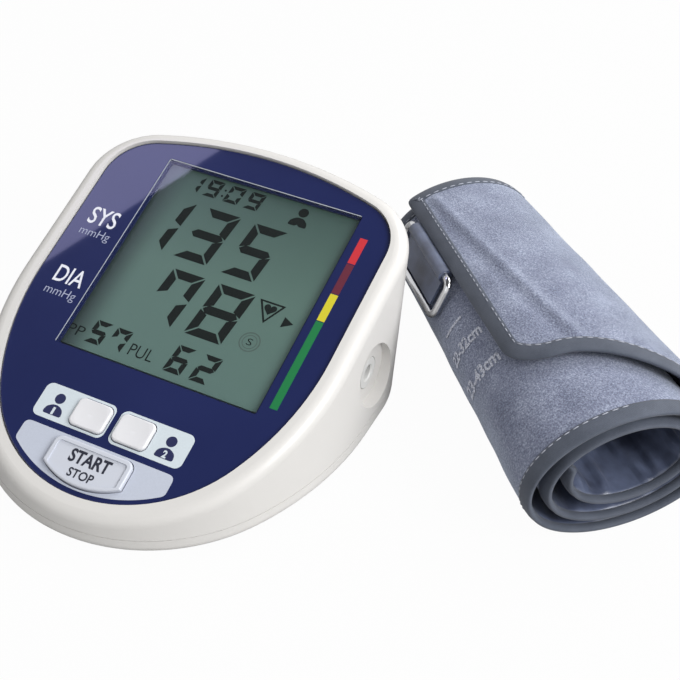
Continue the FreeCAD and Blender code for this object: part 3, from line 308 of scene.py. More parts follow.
inks = {
    "panelPale": printInk("panelPale", paint(206, 216, 222), 0.38),
    "panelGrey": printInk("panelGrey", paint(190, 196, 210), 0.38),
    "labelWhite": printInk("labelWhite", paint(228, 230, 240)),
    "labelGrey": printInk("labelGrey", paint(168, 174, 200)),
    "labelNavy": printInk("labelNavy", paint(28, 34, 78)),
    "labelBlack": printInk("labelBlack", paint(34, 38, 52)),
    "riskRed": printInk("riskRed", paint(196, 36, 44)),
    "riskDark": printInk("riskDark", paint(96, 22, 44)),
    "riskYellow": printInk("riskYellow", paint(206, 194, 30)),
    "riskGreen": printInk("riskGreen", paint(0, 116, 58)),
    "segmentDark": printInk("segmentDark", paint(24, 29, 30), 0.6, shine=0.08),
    "segmentFaint": printInk("segmentFaint", paint(82, 96, 92), 0.5),
    "threadPale": printInk("threadPale", paint(176, 180, 192), 0.8),
    "cuffPrint": printInk("cuffPrint", paint(204, 208, 222), 0.8, wear=0.38),
    # painted highlight of the window's bevel
    "windowEdgeHighlight": printInk("windowEdgeHighlight", paint(176, 182, 190), 0.3),
}
slots = {row["node"]: row["material_slot"] for row in frame["record"]["subparts"]}
for nodeName, node in frame["nodes"].items():
    node.data.materials.clear()
    node.data.materials.append(finishes[slots[nodeName]])
print("finishes:", len(finishes), "and", len(inks), "inks")


def setIn(name, data):
    piece = bpy.data.objects.new(name, data)
    bpy.context.scene.collection.objects.link(piece)
    return piece


def aim(piece, place, way):  # turns a lamp or the camera from its place to look this way
    piece.location = place
    piece.rotation_mode = "QUATERNION"
    piece.rotation_quaternion = way.to_track_quat("-Z", "Y")


def addPiece(name, points, faces, finish, body, replaced=(), smooth=False):
    mesh = bpy.data.meshes.new(name)
    mesh.from_pydata([tuple(point) for point in points], [], faces)
    mesh.validate()
    mesh.update()
    mesh.materials.append(finish)
    for polygon in mesh.polygons:
        polygon.use_smooth = smooth
    piece = setIn(name, mesh)
    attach(piece, body)
    if replaced:
        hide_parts(*replaced)
    return piece


def addSheet(name, corners, finish):  # one flat face of the set round the object
    mesh = bpy.data.meshes.new(name)
    mesh.from_pydata(corners, [], [(0, 1, 2, 3)])
    mesh.materials.append(finish.material)
    return setIn(name, mesh)


def curveShape(curve):  # a curve's points and faces
    holder = setIn("holder", curve)
    mesh = bpy.data.meshes.new_from_object(holder.evaluated_get(bpy.context.evaluated_depsgraph_get()))
    bpy.data.objects.remove(holder)
    return [vertex.co.copy() for vertex in mesh.vertices], [tuple(polygon.vertices) for polygon in mesh.polygons]


def flatShape(loops, thickness):  # fills closed loops of (x, v), holes included
    curve = bpy.data.curves.new("flat", "CURVE")
    curve.dimensions = "2D"
    curve.fill_mode = "BOTH"
    curve.extrude = thickness / 2
    for loop in loops:
        spline = curve.splines.new("POLY")
        spline.points.add(len(loop) - 1)
        for point, (x, v) in zip(spline.points, loop):
            point.co = (x, v, 0, 1)
        spline.use_cyclic_u = True
    return curveShape(curve)


def facePrint(name, loops, ink, level=0.04, thickness=0.06):
    # a thin printed shape whose top lies at this level over the plate
    points, faces = flatShape(loops, thickness)
    points = [faceFrame @ Vector((p.x, p.y, p.z + level - thickness / 2)) for p in points]
    addPiece(name, points, faces, inks[ink], "monitor")


def lettering(text, bold):  # a word's points in a box from 0 to 1 both ways, and its faces
    curve = bpy.data.curves.new("word", "FONT")
    curve.body, curve.size, curve.offset, curve.resolution_u = text, 1.0, bold, 4
    points, faces = curveShape(curve)
    low = Vector((min(p.x for p in points), min(p.y for p in points)))
    high = Vector((max(p.x for p in points), max(p.y for p in points)))
    return [((p.x - low.x) / (high.x - low.x), (p.y - low.y) / (high.y - low.y)) for p in points], faces


def faceWord(name, text, left, right, bottom, top, ink, level=0.05, body="monitor", slot="plate_navy", bold=0.02):
    points, faces = lettering(text, bold)
    points = [faceFrame @ Vector((left + (right - left) * x, bottom + (top - bottom) * v, level)) for x, v in points]
    addPiece(name, points, faces, inks[ink], body)


def roundedBox(left, bottom, right, top, radius, steps=6):
    loop = []
    for cx, cy, start in ((right - radius, top - radius, 0), (left + radius, top - radius, 90),
                          (left + radius, bottom + radius, 180), (right - radius, bottom + radius, 270)):
        for step in range(steps + 1):
            angle = math.radians(start + 90 * step / steps)
            loop.append((cx + radius * math.cos(angle), cy + radius * math.sin(angle)))
    return loop


def disc(x, v, radius, steps=28):
    return [(x + radius * math.cos(2 * math.pi * i / steps), v + radius * math.sin(2 * math.pi * i / steps))
            for i in range(steps)]


def softened(loop, radius, steps=5):  # rounds a loop's corners
    out = []
    for before, corner, after in zip(loop[-1:] + loop[:-1], loop, loop[1:] + loop[:1]):
        corner = Vector(corner)
        back, on = Vector(before) - corner, Vector(after) - corner
        reach = min(radius, back.length / 2, on.length / 2)
        first, last = corner + back.normalized() * reach, corner + on.normalized() * reach
        for step in range(steps + 1):
            share = step / steps
            out.append(tuple((1 - share) ** 2 * first + 2 * share * (1 - share) * corner + share ** 2 * last))
    return out


keys = {"halfGap": 1.6, "width": 12.0, "length": 9.4, "middle": -57.0, "corner": 2.0, "gap": 0.3,
        "startHalf": 13.6, "startTop": -65.9, "startLow": -79.0, "startSide": -75.1, "startCorner": 2.6,
        "cornerSteps": 6, "lowSteps": 16}
panel = {"inner": 0.9, "outer": 26.4, "top": -51.2, "bottom": -62.8, "corner": 2.3, "startTop": -64.9,
         "startHalf": 26.4, "startInset": 1.7, "startCorner": 2.2, "startSteps": 30}
person = {"x": 19.9, "headV": -55.4, "head": 1.75, "corner": 0.9, "level": 0.08,
          "shoulders": ((-3.3, -61.2), (-2.9, -58.9), (-1.0, -57.7), (1.0, -57.7), (2.9, -58.9), (3.3, -61.2)),
          "numbers": {"1": 0.42, "2": 0.75}, "numberLow": -61.0, "numberHigh": -58.5, "numberLevel": 0.12}
risk = {"left": 42.1, "right": 44.7, "gap": 0.3, "levels": (("Red", 30.2, 19.9), ("Dark", 19.9, 8.0),
                                                            ("Yellow", 8.0, -2.5), ("Green", -2.5, -35.0))}
plate = {"half": 52.6, "shoulder": -14.5, "side": 88.0, "bottom": 47.6}
labels = {  # text, left, right, bottom, top, ink, how bold
    "labelSys": ("SYS", -47.4, -36.9, 5.2, 12.0, "labelWhite", 0.008),
    "labelSysUnit": ("mmHg", -47.6, -36.2, -0.4, 3.6, "labelGrey", -0.008),
    "labelDia": ("DIA", -46.2, -35.4, -18.6, -12.3, "labelWhite", 0.008),
    "labelDiaUnit": ("mmHg", -46.6, -35.0, -24.4, -20.4, "labelGrey", -0.008),
}
keyLabels = {"labelStart": ("START", -6.6, 7.4, -72.6, -68.2, "labelBlack", 0.03),
             "labelStop": ("STOP", -4.4, 4.4, -76.9, -74.0, "labelBlack", 0.02)}
keyTop = 1.05
# painted highlight strip along the window's top and left edges
glint = {"half": 36.05, "halfLong": 38.15, "width": 0.26, "level": -0.06, "thickness": 0.04}


def userKeyLoop(side):
    left = keys["halfGap"] if side > 0 else -keys["halfGap"] - keys["width"]
    gap, half = keys["gap"], keys["length"] / 2
    return roundedBox(left - gap, keys["middle"] - half - gap, left + keys["width"] + gap, keys["middle"] + half + gap,
                      keys["corner"] + gap)


def startKeyLoop(grow):
    half, top, low = keys["startHalf"] + grow, keys["startTop"] + grow, keys["startLow"] - grow
    side, corner = keys["startSide"], keys["startCorner"] + grow
    quarter = [step * math.pi / (2 * keys["cornerSteps"]) for step in range(keys["cornerSteps"] + 1)]
    loop = [(half, side)]
    loop += [(half - corner + corner * math.cos(a), top - corner + corner * math.sin(a)) for a in quarter]
    loop += [(corner - half - corner * math.sin(a), top - corner + corner * math.cos(a)) for a in quarter]
    loop.append((-half, side))
    sag = side - low
    radius = (half ** 2 + sag ** 2) / (2 * sag)
    for step in range(1, keys["lowSteps"]):
        x = -half + 2 * half * step / keys["lowSteps"]
        loop.append((x, low + radius - math.sqrt(radius ** 2 - x ** 2)))
    return loop


def plateEdge(x, inset):  # the plate's lower edge at a given x
    sideX = plate["half"] - plate["side"]
    lowY = plate["shoulder"] - math.sqrt((plate["side"] - plate["bottom"]) ** 2 - sideX ** 2)
    onBottom = lowY - math.sqrt((plate["bottom"] - inset) ** 2 - x ** 2)
    onSide = plate["shoulder"] - math.sqrt((plate["side"] - inset) ** 2 - (abs(x) - sideX) ** 2)
    return max(onBottom, onSide)


for side, name in ((-1, "1"), (1, "2")):
    ends = sorted((side * panel["inner"], side * panel["outer"]))
    loop = roundedBox(ends[0], panel["bottom"], ends[1], panel["top"], panel["corner"])
    facePrint("userPanel" + name, [loop, userKeyLoop(side)], "panelPale")
    middle, slim = side * person["x"], person["numbers"][name]
    shoulders = softened([(middle + x, v) for x, v in person["shoulders"]], person["corner"])
    facePrint("userHead" + name, [disc(middle, person["headV"], person["head"])], "labelNavy", level=person["level"])
    facePrint("userShoulders" + name, [shoulders], "labelNavy", level=person["level"])
    faceWord("userNumber" + name, name, middle - slim, middle + slim, person["numberLow"], person["numberHigh"],
             "panelPale", level=person["numberLevel"], bold=0.04)

half, steps = panel["startHalf"], panel["startSteps"]
lower = [(x, plateEdge(x, panel["startInset"])) for x in [half - 2 * half * i / steps for i in range(steps + 1)]]
upper = [(-half, panel["startTop"]), (half, panel["startTop"])]
facePrint("startPanel", [softened(upper + lower, panel["startCorner"]), startKeyLoop(keys["gap"])], "panelGrey")
for name, top, bottom in risk["levels"]:
    bottom += risk["gap"]
    loop = [(risk["left"], bottom), (risk["right"], bottom), (risk["right"], top), (risk["left"], top)]
    facePrint("risk" + name, [loop], "risk" + name)

for name, (*place, bold) in labels.items():
    faceWord(name, *place, bold=bold)
for name, (*place, bold) in keyLabels.items():
    faceWord(name, *place, level=keyTop, body="start_button", slot="start_grey", bold=bold)
# a painted highlight: a pale strip along the window's top and left edges, where the bevel catches the light
middle, top = face["displayOffset"] * 1000, glint["halfLong"]
left, right = middle - glint["half"], middle + glint["half"]
innerLeft, innerTop = left + glint["width"], top - glint["width"]
loop = [(left, -top), (innerLeft, -top), (innerLeft, innerTop), (right, innerTop), (right, top), (left, top)]
facePrint("windowEdgeHighlight", [loop], "windowEdgeHighlight", glint["level"], glint["thickness"])
print("face: print done")

# the display's figures and signs lie on the glass under the window, shifted a little for the slant of the view
figures = {"level": -2.15, "thickness": 0.03, "shiftX": -0.84, "shiftV": 1.07, "lean": 0.12, "gap": 0.28}
lit = {"0": "ABCDEF", "1": "BC", "2": "ABGED", "3": "ABGCD", "5": "AFGCD", "6": "AFGECD", "7": "FABC", "8": "ABCDEFG",
       "9": "ABCDFG"}
rows = {  # digit, left, bottom, width, height, stroke
    "figuresTime": (("1", -22.6, 28.4, 4.7, 6.9, 1.3), ("9", -15.9, 28.4, 5.1, 6.9, 1.3),
                    ("0", -8.0, 28.4, 5.4, 6.9, 1.3), ("9", -0.4, 28.4, 5.3, 6.9, 1.3)),
    "figuresUpper": (("1", -28.6, 3.5, 10.9, 21.2, 3.1), ("3", -13.4, 3.6, 12.6, 20.8, 3.1),
                     ("5", 4.6, 3.2, 12.2, 20.9, 3.1)),
    "figuresLower": (("7", -12.6, -21.4, 12.0, 20.6, 3.1), ("8", 4.4, -21.0, 13.3, 20.2, 3.1)),
    "figuresSmall": (("5", -24.7, -35.0, 5.8, 8.4, 1.65), ("7", -17.1, -35.0, 5.7, 8.2, 1.65),
                     ("6", 4.5, -35.2, 6.3, 9.9, 1.75), ("2", 13.8, -35.2, 6.3, 9.9, 1.75)),
}
colon = {"dots": ((-8.9, 30.2), (-8.7, 32.6)), "radius": 0.42, "steps": 10}
user = {"head": (20.3, 33.1, 1.75), "corner": 0.7,
        "shoulders": [(16.9, 27.5), (17.2, 29.4), (19.0, 30.9), (21.4, 30.9), (23.2, 29.4), (23.5, 27.5), (20.9, 27.5),
                      (20.2, 28.3), (19.5, 27.5)]}
pulse = {"outer": [(21.9, -1.3), (31.1, -1.3), (26.6, -9.2)], "inner": [(26.6, -8.0), (30.0, -1.9), (23.0, -1.9)],
         "heartX": 26.6, "heartV": -3.9, "heart": 0.135, "steps": 40,
         "arrow": [(32.4, -4.7), (36.0, -6.4), (32.4, -8.6)]}
rings = {"x": 25.9, "v": -16.7, "radii": (3.5, 3.15, 2.5, 2.25)}


def segmentLoops(digit, left, bottom, width, height, stroke):
    gap, middle = figures["gap"] * stroke / 2, height / 2
    shapes = {
        "A": [(gap, height), (width - gap, height), (width - stroke - gap, height - stroke),
              (stroke + gap, height - stroke)],
        "F": [(0, height - gap), (stroke, height - stroke - gap), (stroke, middle + stroke / 2 + gap),
              (0, middle + gap)],
        "E": [(0, gap), (stroke, stroke + gap), (stroke, middle - stroke / 2 - gap), (0, middle - gap)],
        "G": [(gap, middle), (stroke / 2 + gap, middle + stroke / 2), (width - stroke / 2 - gap, middle + stroke / 2),
              (width - gap, middle), (width - stroke / 2 - gap, middle - stroke / 2),
              (stroke / 2 + gap, middle - stroke / 2)],
    }
    shapes["D"] = [(x, height - v) for x, v in shapes["A"]]
    shapes["B"] = [(width - x, v) for x, v in shapes["F"]]
    shapes["C"] = [(width - x, v) for x, v in shapes["E"]]
    return [[(left + x + figures["lean"] * v, bottom + v) for x, v in shapes[letter]] for letter in lit[digit]]


def heartLoop():
    loop = []
    for step in range(pulse["steps"]):
        a = 2 * math.pi * step / pulse["steps"]
        rise = 13 * math.cos(a) - 5 * math.cos(2 * a) - 2 * math.cos(3 * a) - math.cos(4 * a)
        loop.append((pulse["heartX"] + pulse["heart"] * 16 * math.sin(a) ** 3, pulse["heartV"] + pulse["heart"] * rise))
    return loop


def displayPrint(name, loops, ink="segmentDark"):
    loops = [[(x + figures["shiftX"], v + figures["shiftV"]) for x, v in loop] for loop in loops]
    facePrint(name, loops, ink, figures["level"], figures["thickness"])


def displayWord(name, text, left, right, bottom, top):
    faceWord(name, text, left + figures["shiftX"], right + figures["shiftX"], bottom + figures["shiftV"],
             top + figures["shiftV"], "segmentDark", level=figures["level"], slot="lcd_grey", bold=-0.005)


for name, digits in rows.items():
    displayPrint(name, [loop for digit in digits for loop in segmentLoops(*digit)])
displayPrint("timeColon", [disc(x, v, colon["radius"], colon["steps"]) for x, v in colon["dots"]])
displayWord("wordPulsePressure", "PP", -31.8, -25.8, -34.2, -30.6)
displayWord("wordPulse", "PUL", -8.8, -0.2, -34.4, -30.2)
displayPrint("displayUser", [disc(*user["head"]), softened(user["shoulders"], user["corner"])])
displayPrint("heartTriangle", [pulse["outer"], pulse["inner"]])
displayPrint("displayHeart", [heartLoop()])
displayPrint("displayArrow", [pulse["arrow"]])
displayPrint("displayRing", [disc(rings["x"], rings["v"], radius) for radius in rings["radii"]], "segmentFaint")
displayWord("ringMark", "S", 25.0, 26.8, -17.9, -15.5)
print("display: figures done")

roll = {"x": 0.1444, "y": -0.0081, "turn": 45.4, "length": 127.0, "halfWidth": 37.0, "halfHeight": 28.5, "far": 0.77,
        "pitch": 6.2, "rise": 4.9, "flapAngle": 132.0, "turns": 2.9, "tailLift": 3.5, "proud": 0.25, "cover": 1.3,
        "liner": 1.9, "thick": 2.4}
flap = {"setback": 29.0, "corner": 14.0, "share": 0.36, "past": 12, "dip": 2, "run": 18, "bend": 0.55, "below": -8,
        "sweepSteps": 60, "cornerSteps": 12, "search": (-0.02, 0.42), "halvings": 30}
bound = {"step": 1.3, "fine": 0.01, "softenings": 3, "reach": 2, "least": 1e-6}
tiny = 1e-9  # keeps a division from ending at nought
cuffFrame = (Matrix.Translation(Vector((monitorX + roll["x"], monitorY + roll["y"], 0)))
             @ Matrix.Rotation(math.radians(roll["turn"]), 4, "Z") @ Matrix.Scale(0.001, 4))


def rollPoint(turn, depth, s):
    scale = 1 - (1 - roll["far"]) * s / roll["length"]
    middle = roll["proud"] + roll["halfHeight"] - roll["rise"] * (roll["flapAngle"] + 90) / 360
    middle += roll["tailLift"] * max(0.0, turn - roll["turns"] + 1) ** 2
    angle = math.radians(roll["flapAngle"]) - 2 * math.pi * turn
    return Vector((scale * (roll["halfWidth"] - roll["pitch"] * turn - depth) * math.cos(angle), s,
                   scale * (middle + (roll["halfHeight"] - roll["rise"] * turn - depth) * math.sin(angle))))


def turnLength(turn, s):  # length of one turn there
    scale = 1 - (1 - roll["far"]) * s / roll["length"]
    return math.pi * scale * (roll["halfWidth"] + roll["halfHeight"] - (roll["pitch"] + roll["rise"]) * turn)


def turnAt(x, s):  # turn of the outer layer's point at this x
    low, high = flap["search"]
    for _ in range(flap["halvings"]):
        middle = (low + high) / 2
        low, high = (middle, high) if rollPoint(middle, 0, s).x < x else (low, middle)
    return (low + high) / 2


def flapCurve():  # (turn, s) along the cut-away corner, from the near end to the free edge
    setback, corner = flap["setback"], flap["corner"]
    cornerX = rollPoint(0, 0, setback).x
    topX = rollPoint((roll["flapAngle"] - 90) / 360, 0, setback).x
    endX = rollPoint(flap["share"], 0, 0).x + flap["past"]
    poles = [Vector((cornerX + corner, setback)), Vector((topX, setback - flap["dip"])),
             Vector((topX + flap["run"], setback * flap["bend"])), Vector((endX, flap["below"]))]
    line = []
    for step in range(flap["sweepSteps"], -1, -1):
        u = step / flap["sweepSteps"]
        p = (poles[0] * (1 - u) ** 3 + poles[1] * 3 * u * (1 - u) ** 2
             + poles[2] * 3 * u * u * (1 - u) + poles[3] * u ** 3)
        line.append((p.x, p.y))
    for step in range(1, flap["cornerSteps"] + 1):
        a = math.pi / 2 * step / flap["cornerSteps"]
        line.append((cornerX + corner * (1 - math.sin(a)), setback + corner * (1 - math.cos(a))))
    return [(max(0.0, turnAt(x, s)), s) for x, s in line if s >= 0]


flapLine = flapCurve()


def nearEdge(turn):  # where the cloth begins at this turn
    if turn >= flapLine[0][0]:
        return 0.0
    for (t1, s1), (t0, s0) in zip(flapLine, flapLine[1:]):
        if t0 <= turn <= t1:
            return s0 + (s1 - s0) * (turn - t0) / max(t1 - t0, tiny)
    return flapLine[-1][1]


def between(first, second, share):
    return [a + (b - a) * share for a, b in zip(first, second)]


def edgePath():
    # the cloth's bound edge as (turn, s): near end, cut-away corner, free edge and far end, evenly spaced
    fine, flapStart, flapEnd = bound["fine"], flapLine[0][0], flapLine[-1][1]
    raw = [(roll["turns"] - i * fine, 0.0) for i in range(int((roll["turns"] - flapStart) / fine))]
    raw += flapLine
    raw += [(0.0, flapEnd + i) for i in range(1, int(roll["length"] - flapEnd))]
    raw += [(i * fine, roll["length"]) for i in range(int(roll["turns"] / fine) + 1)]
    flat = [(0.0, raw[0])]  # each point with its distance along the edge
    for before, after in zip(raw, raw[1:]):
        gap = math.hypot((after[0] - before[0]) * turnLength(*before), after[1] - before[1])
        if gap > bound["least"]:
            flat.append((flat[-1][0] + gap, after))
    total, out, place = flat[-1][0], [], 0
    count = int(total / bound["step"])
    for number in range(count + 1):
        want = total * number / count
        while place < len(flat) - 2 and flat[place + 1][0] < want:
            place += 1
        (start, first), (end, second) = flat[place], flat[place + 1]
        out.append(between(first, second, (want - start) / max(end - start, tiny)))
    for _ in range(bound["softenings"]):  # softens the corners
        out = [out[0]] + [[(a[0] + 2 * b[0] + c[0]) / 4, (a[1] + 2 * b[1] + c[1]) / 4]
                          for a, b, c in zip(out, out[1:], out[2:])] + [out[-1]]
    return out


def edgeFrames(path):  # turn, s and the unit step into the cloth, in turns and millimetres
    frames, reach = [], bound["reach"]
    for number, (turn, s) in enumerate(path):
        before, after = path[max(number - reach, 0)], path[min(number + reach, len(path) - 1)]
        size = turnLength(turn, s)
        along = Vector(((after[0] - before[0]) * size, after[1] - before[1])).normalized()
        frames.append((turn, s, along.y / size, -along.x))
    return frames


swells = {  # waves in a turn, waves in a millimetre, seed and height
    "cover": ((5.0, 0.035, 1.7, 0.55), (17, 0.09, 4.1, 0.22)),
    "liner": ((22, 0.03, 9.3, 1.0), (44, 0.05, 2.2, 0.6)),
}
seam = {"before": 0.4, "turn": 0.127, "lean": 0.00062, "height": 0.9, "width": 1.6, "dip": 0.45, "dipAway": 3.8,
        "dipWidth": 2.2}
cloth = {"rows": 70, "fade": 5.0, "fadeFrom": 0.3, "fineStep": 0.003, "fineTurns": 60, "step": 0.0085, "turns": 331}
cover = {"margin": 4.2, "sunk": 0.12, "outerTurns": 1.1, "innerRelief": 0.4, "overlap": 0.05}
liner = {"margin": 1.9, "topThin": 0.5, "lowThin": 0.4, "bulge": 3.2, "bulgeFrom": 2.0, "shallow": -0.2, "deep": -0.3}


def swell(name, turn, s):
    return sum(noise.noise(Vector((turn * often, s * along, seed))) * height
               for often, along, seed, height in swells[name])


def relief(turn, s):
    # how far the pile stands out or sinks: broad unevenness, and a raised seam beside a dip on the outer turn
    if turn >= seam["before"]:
        return swell("cover", turn, s)
    across = (turn - (seam["turn"] - seam["lean"] * s)) * turnLength(turn, s)
    raised = seam["height"] * math.exp(-(across / seam["width"]) ** 2)
    raised -= seam["dip"] * math.exp(-((across + seam["dipAway"]) / seam["dipWidth"]) ** 2)
    return swell("cover", turn, s) + raised


def coverTop(turn, s, edge):
    return cover["sunk"] - relief(turn, s) * edge * (1.0 if turn < cover["outerTurns"] else cover["innerRelief"])


def coverLow(turn, s, edge):
    return roll["cover"] - cover["overlap"]


def linerTop(turn, s, edge):
    return roll["liner"] - liner["topThin"] * (1 - edge)


def linerLow(turn, s, edge):
    folds = (liner["bulge"] if turn > liner["bulgeFrom"] else 1.0) * max(liner["shallow"], swell("liner", turn, s))
    return roll["thick"] - liner["lowThin"] * (1 - edge) + max(liner["deep"], folds) * edge


def clothSheet(name, top, low, margin, finish, replaced):
    # a closed sheet between two depths, each a function of turn, s and the share that the edge leaves of the relief
    points, faces, rows = [], [], cloth["rows"]
    for turn in clothTurns:
        start, stop = nearEdge(turn) + margin, roll["length"] - margin
        for row in range(rows + 1):
            s = start + (stop - start) * row / rows
            edge = min(1.0, *((inward + cloth["fadeFrom"]) / cloth["fade"] for inward in (s - start, stop - s)))
            points += [cuffFrame @ rollPoint(turn, depth(turn, s, edge), s) for depth in (top, low)]
    across, last = 2 * (rows + 1), len(clothTurns) - 1
    for column in range(last):
        for row in range(rows):
            a = column * across + 2 * row
            b = a + across
            faces += [(a, a + 2, b + 2, b), (a + 1, b + 1, b + 3, a + 3)]
        for a, way in ((column * across, 1), (column * across + 2 * rows, -1)):
            faces.append((a, a + across, a + across + 1, a + 1)[::way])
    for start, way in ((0, 1), (last * across, -1)):
        for a in range(start, start + 2 * rows, 2):
            faces.append((a, a + 1, a + 3, a + 2)[::way])
    return addPiece(name, points, faces, finishes[finish], "cuff", replaced, smooth=True)


clothStart = cover["margin"] / turnLength(0, roll["length"] / 2)  # the cloth's free edge, tucked under the tape
clothEnd = roll["turns"] - clothStart
clothTurns = [clothStart + cloth["fineStep"] * i for i in range(cloth["fineTurns"])]
clothTurns += [clothTurns[-1] + cloth["step"] * (i + 1) for i in range(cloth["turns"])]
clothTurns = [turn for turn in clothTurns if turn < clothEnd] + [clothEnd]
coverPiece = clothSheet("cuffVelour", coverTop, coverLow, cover["margin"], "velour_blue_grey",
                        ("cuff_cover", "inner_cover"))
linerPiece = clothSheet("cuffLining", linerTop, linerLow, liner["margin"], "liner_navy", ("cuff_liner",))

# folded over the cloth's edge, where the cloth is pressed thin
tape = {"width": 5.4, "inside": 2.6, "proud": 0.22, "edgeThin": 0.65}
edges = edgeFrames(edgePath())


def tapeProfile():  # (distance from the edge, depth), from the outside round the edge to the inside
    width, top, low = tape["width"], -tape["proud"], roll["thick"] + tape["proud"]
    middle, thin = (top + low) / 2, tape["edgeThin"]
    return [(width, top + 0.5), (width - 0.25, top + 0.05), (width - 1.2, top), (width * 0.6, top + 0.06),
            (width * 0.35, top + 0.25), (1.0, middle - thin - 0.2), (0.35, middle - thin), (0.08, middle - 0.35),
            (0.0, middle), (0.08, middle + 0.35), (0.35, middle + thin), (1.0, middle + thin + 0.2),
            (tape["inside"] - 0.3, low - 0.3), (tape["inside"], low - 0.65)]


def binding():
    points, faces = [], []
    profile = tapeProfile()
    for turn, s, intoTurn, intoS in edges:
        for inward, depth in profile:
            points.append(cuffFrame @ rollPoint(turn + intoTurn * inward, depth, s + intoS * inward))
    size = len(profile)
    for ring in range(len(edges) - 1):
        for side in range(size):
            a, b = ring * size + side, ring * size + (side + 1) % size
            faces.append((a, a + size, b + size, b))
    faces.append(tuple(range(size)))
    faces.append(tuple(range(len(points) - 1, len(points) - 1 - size, -1)))
    addPiece("cuffBinding", points, faces, finishes["binding_tape"], "cuff",
             ("binding_near", "binding_far", "binding_flap"), smooth=True)


binding()
stitch = {"inward": 4.6, "depth": -0.27, "long": 1.7, "pitch": 2.7, "radius": 0.16, "start": 1.0, "sides": 6,
          "knots": ((0.0, 0.35), (0.25, 1.0), (0.75, 1.0), (1.0, 0.35)), "split": 60, "lastTurn": 1.12}


def stitches(name, frames):
    # short thread runs along the tape, each a small tube with tapered ends
    points, faces, sides, last = [], [], stitch["sides"], len(stitch["knots"]) - 1
    line = [(turn + into * stitch["inward"], s + intoS * stitch["inward"]) for turn, s, into, intoS in frames]
    places, length = [0.0], 0.0
    for before, after in zip(line, line[1:]):
        length += math.hypot((after[0] - before[0]) * turnLength(*before), after[1] - before[1])
        places.append(length)

    def along(want):
        number = min(range(len(places)), key=lambda i: abs(places[i] - want))
        number = min(max(number, 0), len(places) - 2)
        share = (want - places[number]) / max(places[number + 1] - places[number], tiny)
        turn, s = between(line[number], line[number + 1], share)
        return rollPoint(turn, stitch["depth"], s)

    start = stitch["start"]
    while start + stitch["long"] < length:
        knots = [along(start + stitch["long"] * share) for share, girth in stitch["knots"]]
        way = (knots[-1] - knots[0]).normalized()
        side = way.cross(Vector((0.3, 0.2, 1))).normalized()
        rise = side.cross(way)
        base = len(points)
        for knot, (share, girth) in zip(knots, stitch["knots"]):
            for corner in range(sides):
                angle = 2 * math.pi * corner / sides
                points.append(cuffFrame @ (knot + (side * math.cos(angle) + rise * math.sin(angle))
                                           * stitch["radius"] * girth))
        for ring in range(last):
            for corner in range(sides):
                a, b = base + ring * sides + corner, base + ring * sides + (corner + 1) % sides
                faces.append((a, b, b + sides, a + sides))
        faces.append(tuple(base + corner for corner in range(sides - 1, -1, -1)))
        faces.append(tuple(base + last * sides + corner for corner in range(sides)))
        start += stitch["pitch"]
    addPiece(name, points, faces, inks["threadPale"], "cuff", smooth=True)


outer = [row for row in edges if row[0] < stitch["lastTurn"]]
stitches("stitchingNear", [row for row in outer if row[1] < stitch["split"]])
stitches("stitchingFar", [row for row in outer if row[1] >= stitch["split"]])
print("cuff: cloth, tape and", len(edges), "edge frames done")

ranges = {  # text, turn, length round the roll, s, height
    "rangeUpper": ("22-32cm", 0.868, 17.5, 56.5, 4.6),
    "rangeLower": ("23-43cm", 0.862, 19.5, 42.5, 5.2),
}
rangeBar = {"from": 0.89, "to": 0.955, "s": 68.5, "width": 0.9, "pieces": 24}
cuffInk = {"lift": 0.3, "bold": 0.03}


def rollPrint(name, points, faces):  # a flat shape in (millimetres round from a turn, s, that turn) laid on the pile
    placed = []
    for across, s, start in points:
        turn = start + across / turnLength(start, s)
        placed.append(cuffFrame @ rollPoint(turn, coverTop(turn, s, 1.0) - cuffInk["lift"], s))
    addPiece(name, placed, faces, inks["cuffPrint"], "cuff", smooth=True)


def rollBar(name, bar):
    points = []
    for step in range(bar["pieces"] + 1):
        turn = bar["from"] + (bar["to"] - bar["from"]) * (step / bar["pieces"])
        points += [(0, bar["s"] - bar["width"] / 2, turn), (0, bar["s"] + bar["width"] / 2, turn)]
    rollPrint(name, points, [(a, a + 1, a + 3, a + 2) for a in range(0, 2 * bar["pieces"], 2)])


for name, (text, turn, long, s, high) in ranges.items():
    points, faces = lettering(text, cuffInk["bold"])
    rollPrint(name, [(x * long, s + v * high, turn) for x, v in points], faces)
rollBar("rangeBar", rangeBar)
print("cuff: print done")

backdrop = {"half": 1.6, "hide": 0.97, "dust": 60.0, "dark": (0.43, 0.43, 0.43, 1), "pale": (0.47, 0.47, 0.47, 1)}
studio = {"room": 0.5, "boxes": (  # name, place, target, size, power
    ("rightBox", (0.95, -0.15, 0.75), (0.02, 0, 0.02), 0.6, 12.5),
    ("backBox", (0.45, 0.8, 0.8), (0, 0, 0.02), 0.6, 7.5),
    ("frontBox", (-0.35, -0.95, 0.65), (0, 0, 0.02), 0.7, 0.7))}
lens = {"length": 67.66, "sensor": 36.0, "fromFace": (0.1777, -0.2591, 0.2618), "look": (-0.3252, 0.6551, -0.6820),
        "near": 0.01, "far": 10.0}
cards = {"edge": ((-56.0, -21.0), (-12.0, 58.3)), "corner": (-58.0, 56.0), "far": 0.7, "out": 2.2, "longer": 1.35,
         "glow": (0.66, 0.64, 1.0, 1), "strength": 3.6, "flag": 260, "flagFar": 1.8, "flagStrength": 0.12}


def paleFloor():
    # white to the camera, pale grey to the light that the object throws back from it
    made = Finish("paleFloor")
    color = made.blend(made.grain(backdrop["dust"]), backdrop["dark"], backdrop["pale"])
    matt = made.node("BsdfDiffuse", {}, {"Color": color})
    glow = made.node("Emission", {}, {"Color": (1, 1, 1, 1), "Strength": 1.0})
    rays = made.node("LightPath", {}, out="Is Camera Ray")
    made.show(made.node("MixShader", {}, [rays * backdrop["hide"], matt, glow]))
    return made


def square(half):
    return [(-half, -half), (half, -half), (half, half), (-half, half)]


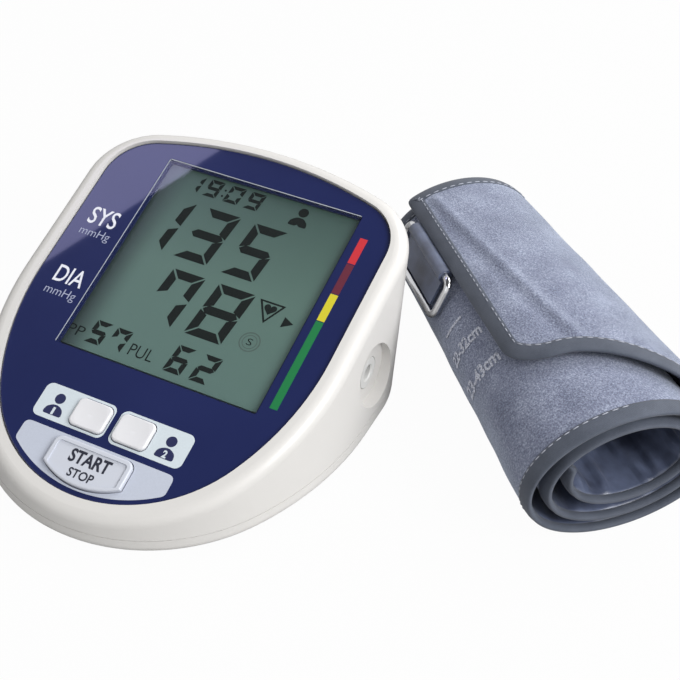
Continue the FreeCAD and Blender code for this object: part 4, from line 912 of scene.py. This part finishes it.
floorPiece = addSheet("floor", [(x, y, 0) for x, y in square(backdrop["half"])], paleFloor())

# the room is white to the camera and in mirrors and glass, and dimmer as a light
world = bpy.data.worlds.new("paleRoom")
bpy.context.scene.world = world
room = NodeTree(world, "World")
seen, *others = [room.node("LightPath", {}, out=f"Is {kind} Ray") for kind in ("Camera", "Glossy", "Transmission")]
for rays in others:
    seen = room.node("Math", {"operation": "ADD", "use_clamp": True}, [seen, rays])
strength = room.node("MapRange", {}, {0: seen, 3: studio["room"], 4: 1.0})
room.show(room.node("Background", {}, {"Color": (1, 1, 1, 1), "Strength": strength}))

for name, place, target, size, power in studio["boxes"]:
    lamp = bpy.data.lights.new(name, "AREA")
    lamp.shape, lamp.size, lamp.energy = "SQUARE", size, power
    aim(setIn(name, lamp), place, Vector(target) - Vector(place))

viewer = bpy.data.cameras.new("viewer")
viewer.lens, viewer.sensor_width = lens["length"], lens["sensor"]
viewer.clip_start, viewer.clip_end = lens["near"], lens["far"]
viewerPiece = setIn("viewer", viewer)
aim(viewerPiece, faceMiddle + Vector(lens["fromFace"]), Vector(lens["look"]))
bpy.context.scene.camera = viewerPiece


def mirrorCards():
    # a pale card whose mirror image shows in the upper left of the plate, and a dark flag that the rest of it mirrors
    eye = faceMiddle + Vector(lens["fromFace"])
    normal = (faceFrame.to_3x3() @ Vector((0, 0, 1))).normalized()

    def mirrored(x, v, far):
        spot = faceFrame @ Vector((x, v, 0))
        ray = (spot - eye).normalized()
        return spot + (ray - 2 * ray.dot(normal) * normal) * far

    first, second, corner = [mirrored(*spot, cards["far"]) for spot in (*cards["edge"], cards["corner"])]
    middle = (first + second) / 2
    out = (corner - middle) * cards["out"]
    first, second = [middle + (end - middle) * cards["longer"] for end in (first, second)]
    flag = [mirrored(x, v, cards["flagFar"]) for x, v in square(cards["flag"])]
    for name, corners, glow, strength in (
            ("paleCard", [first, second, second + out, first + out], cards["glow"], cards["strength"]),
            ("darkFlag", flag, (1, 1, 1, 1), cards["flagStrength"])):
        card = Finish(name)
        card.show(card.node("Emission", {}, {"Color": glow, "Strength": strength}))
        piece = addSheet(name, corners, card)
        piece.visible_camera = piece.visible_diffuse = piece.visible_shadow = piece.visible_transmission = False


mirrorCards()
bpy.context.scene.view_settings.view_transform = "Standard"
print("light and camera set")
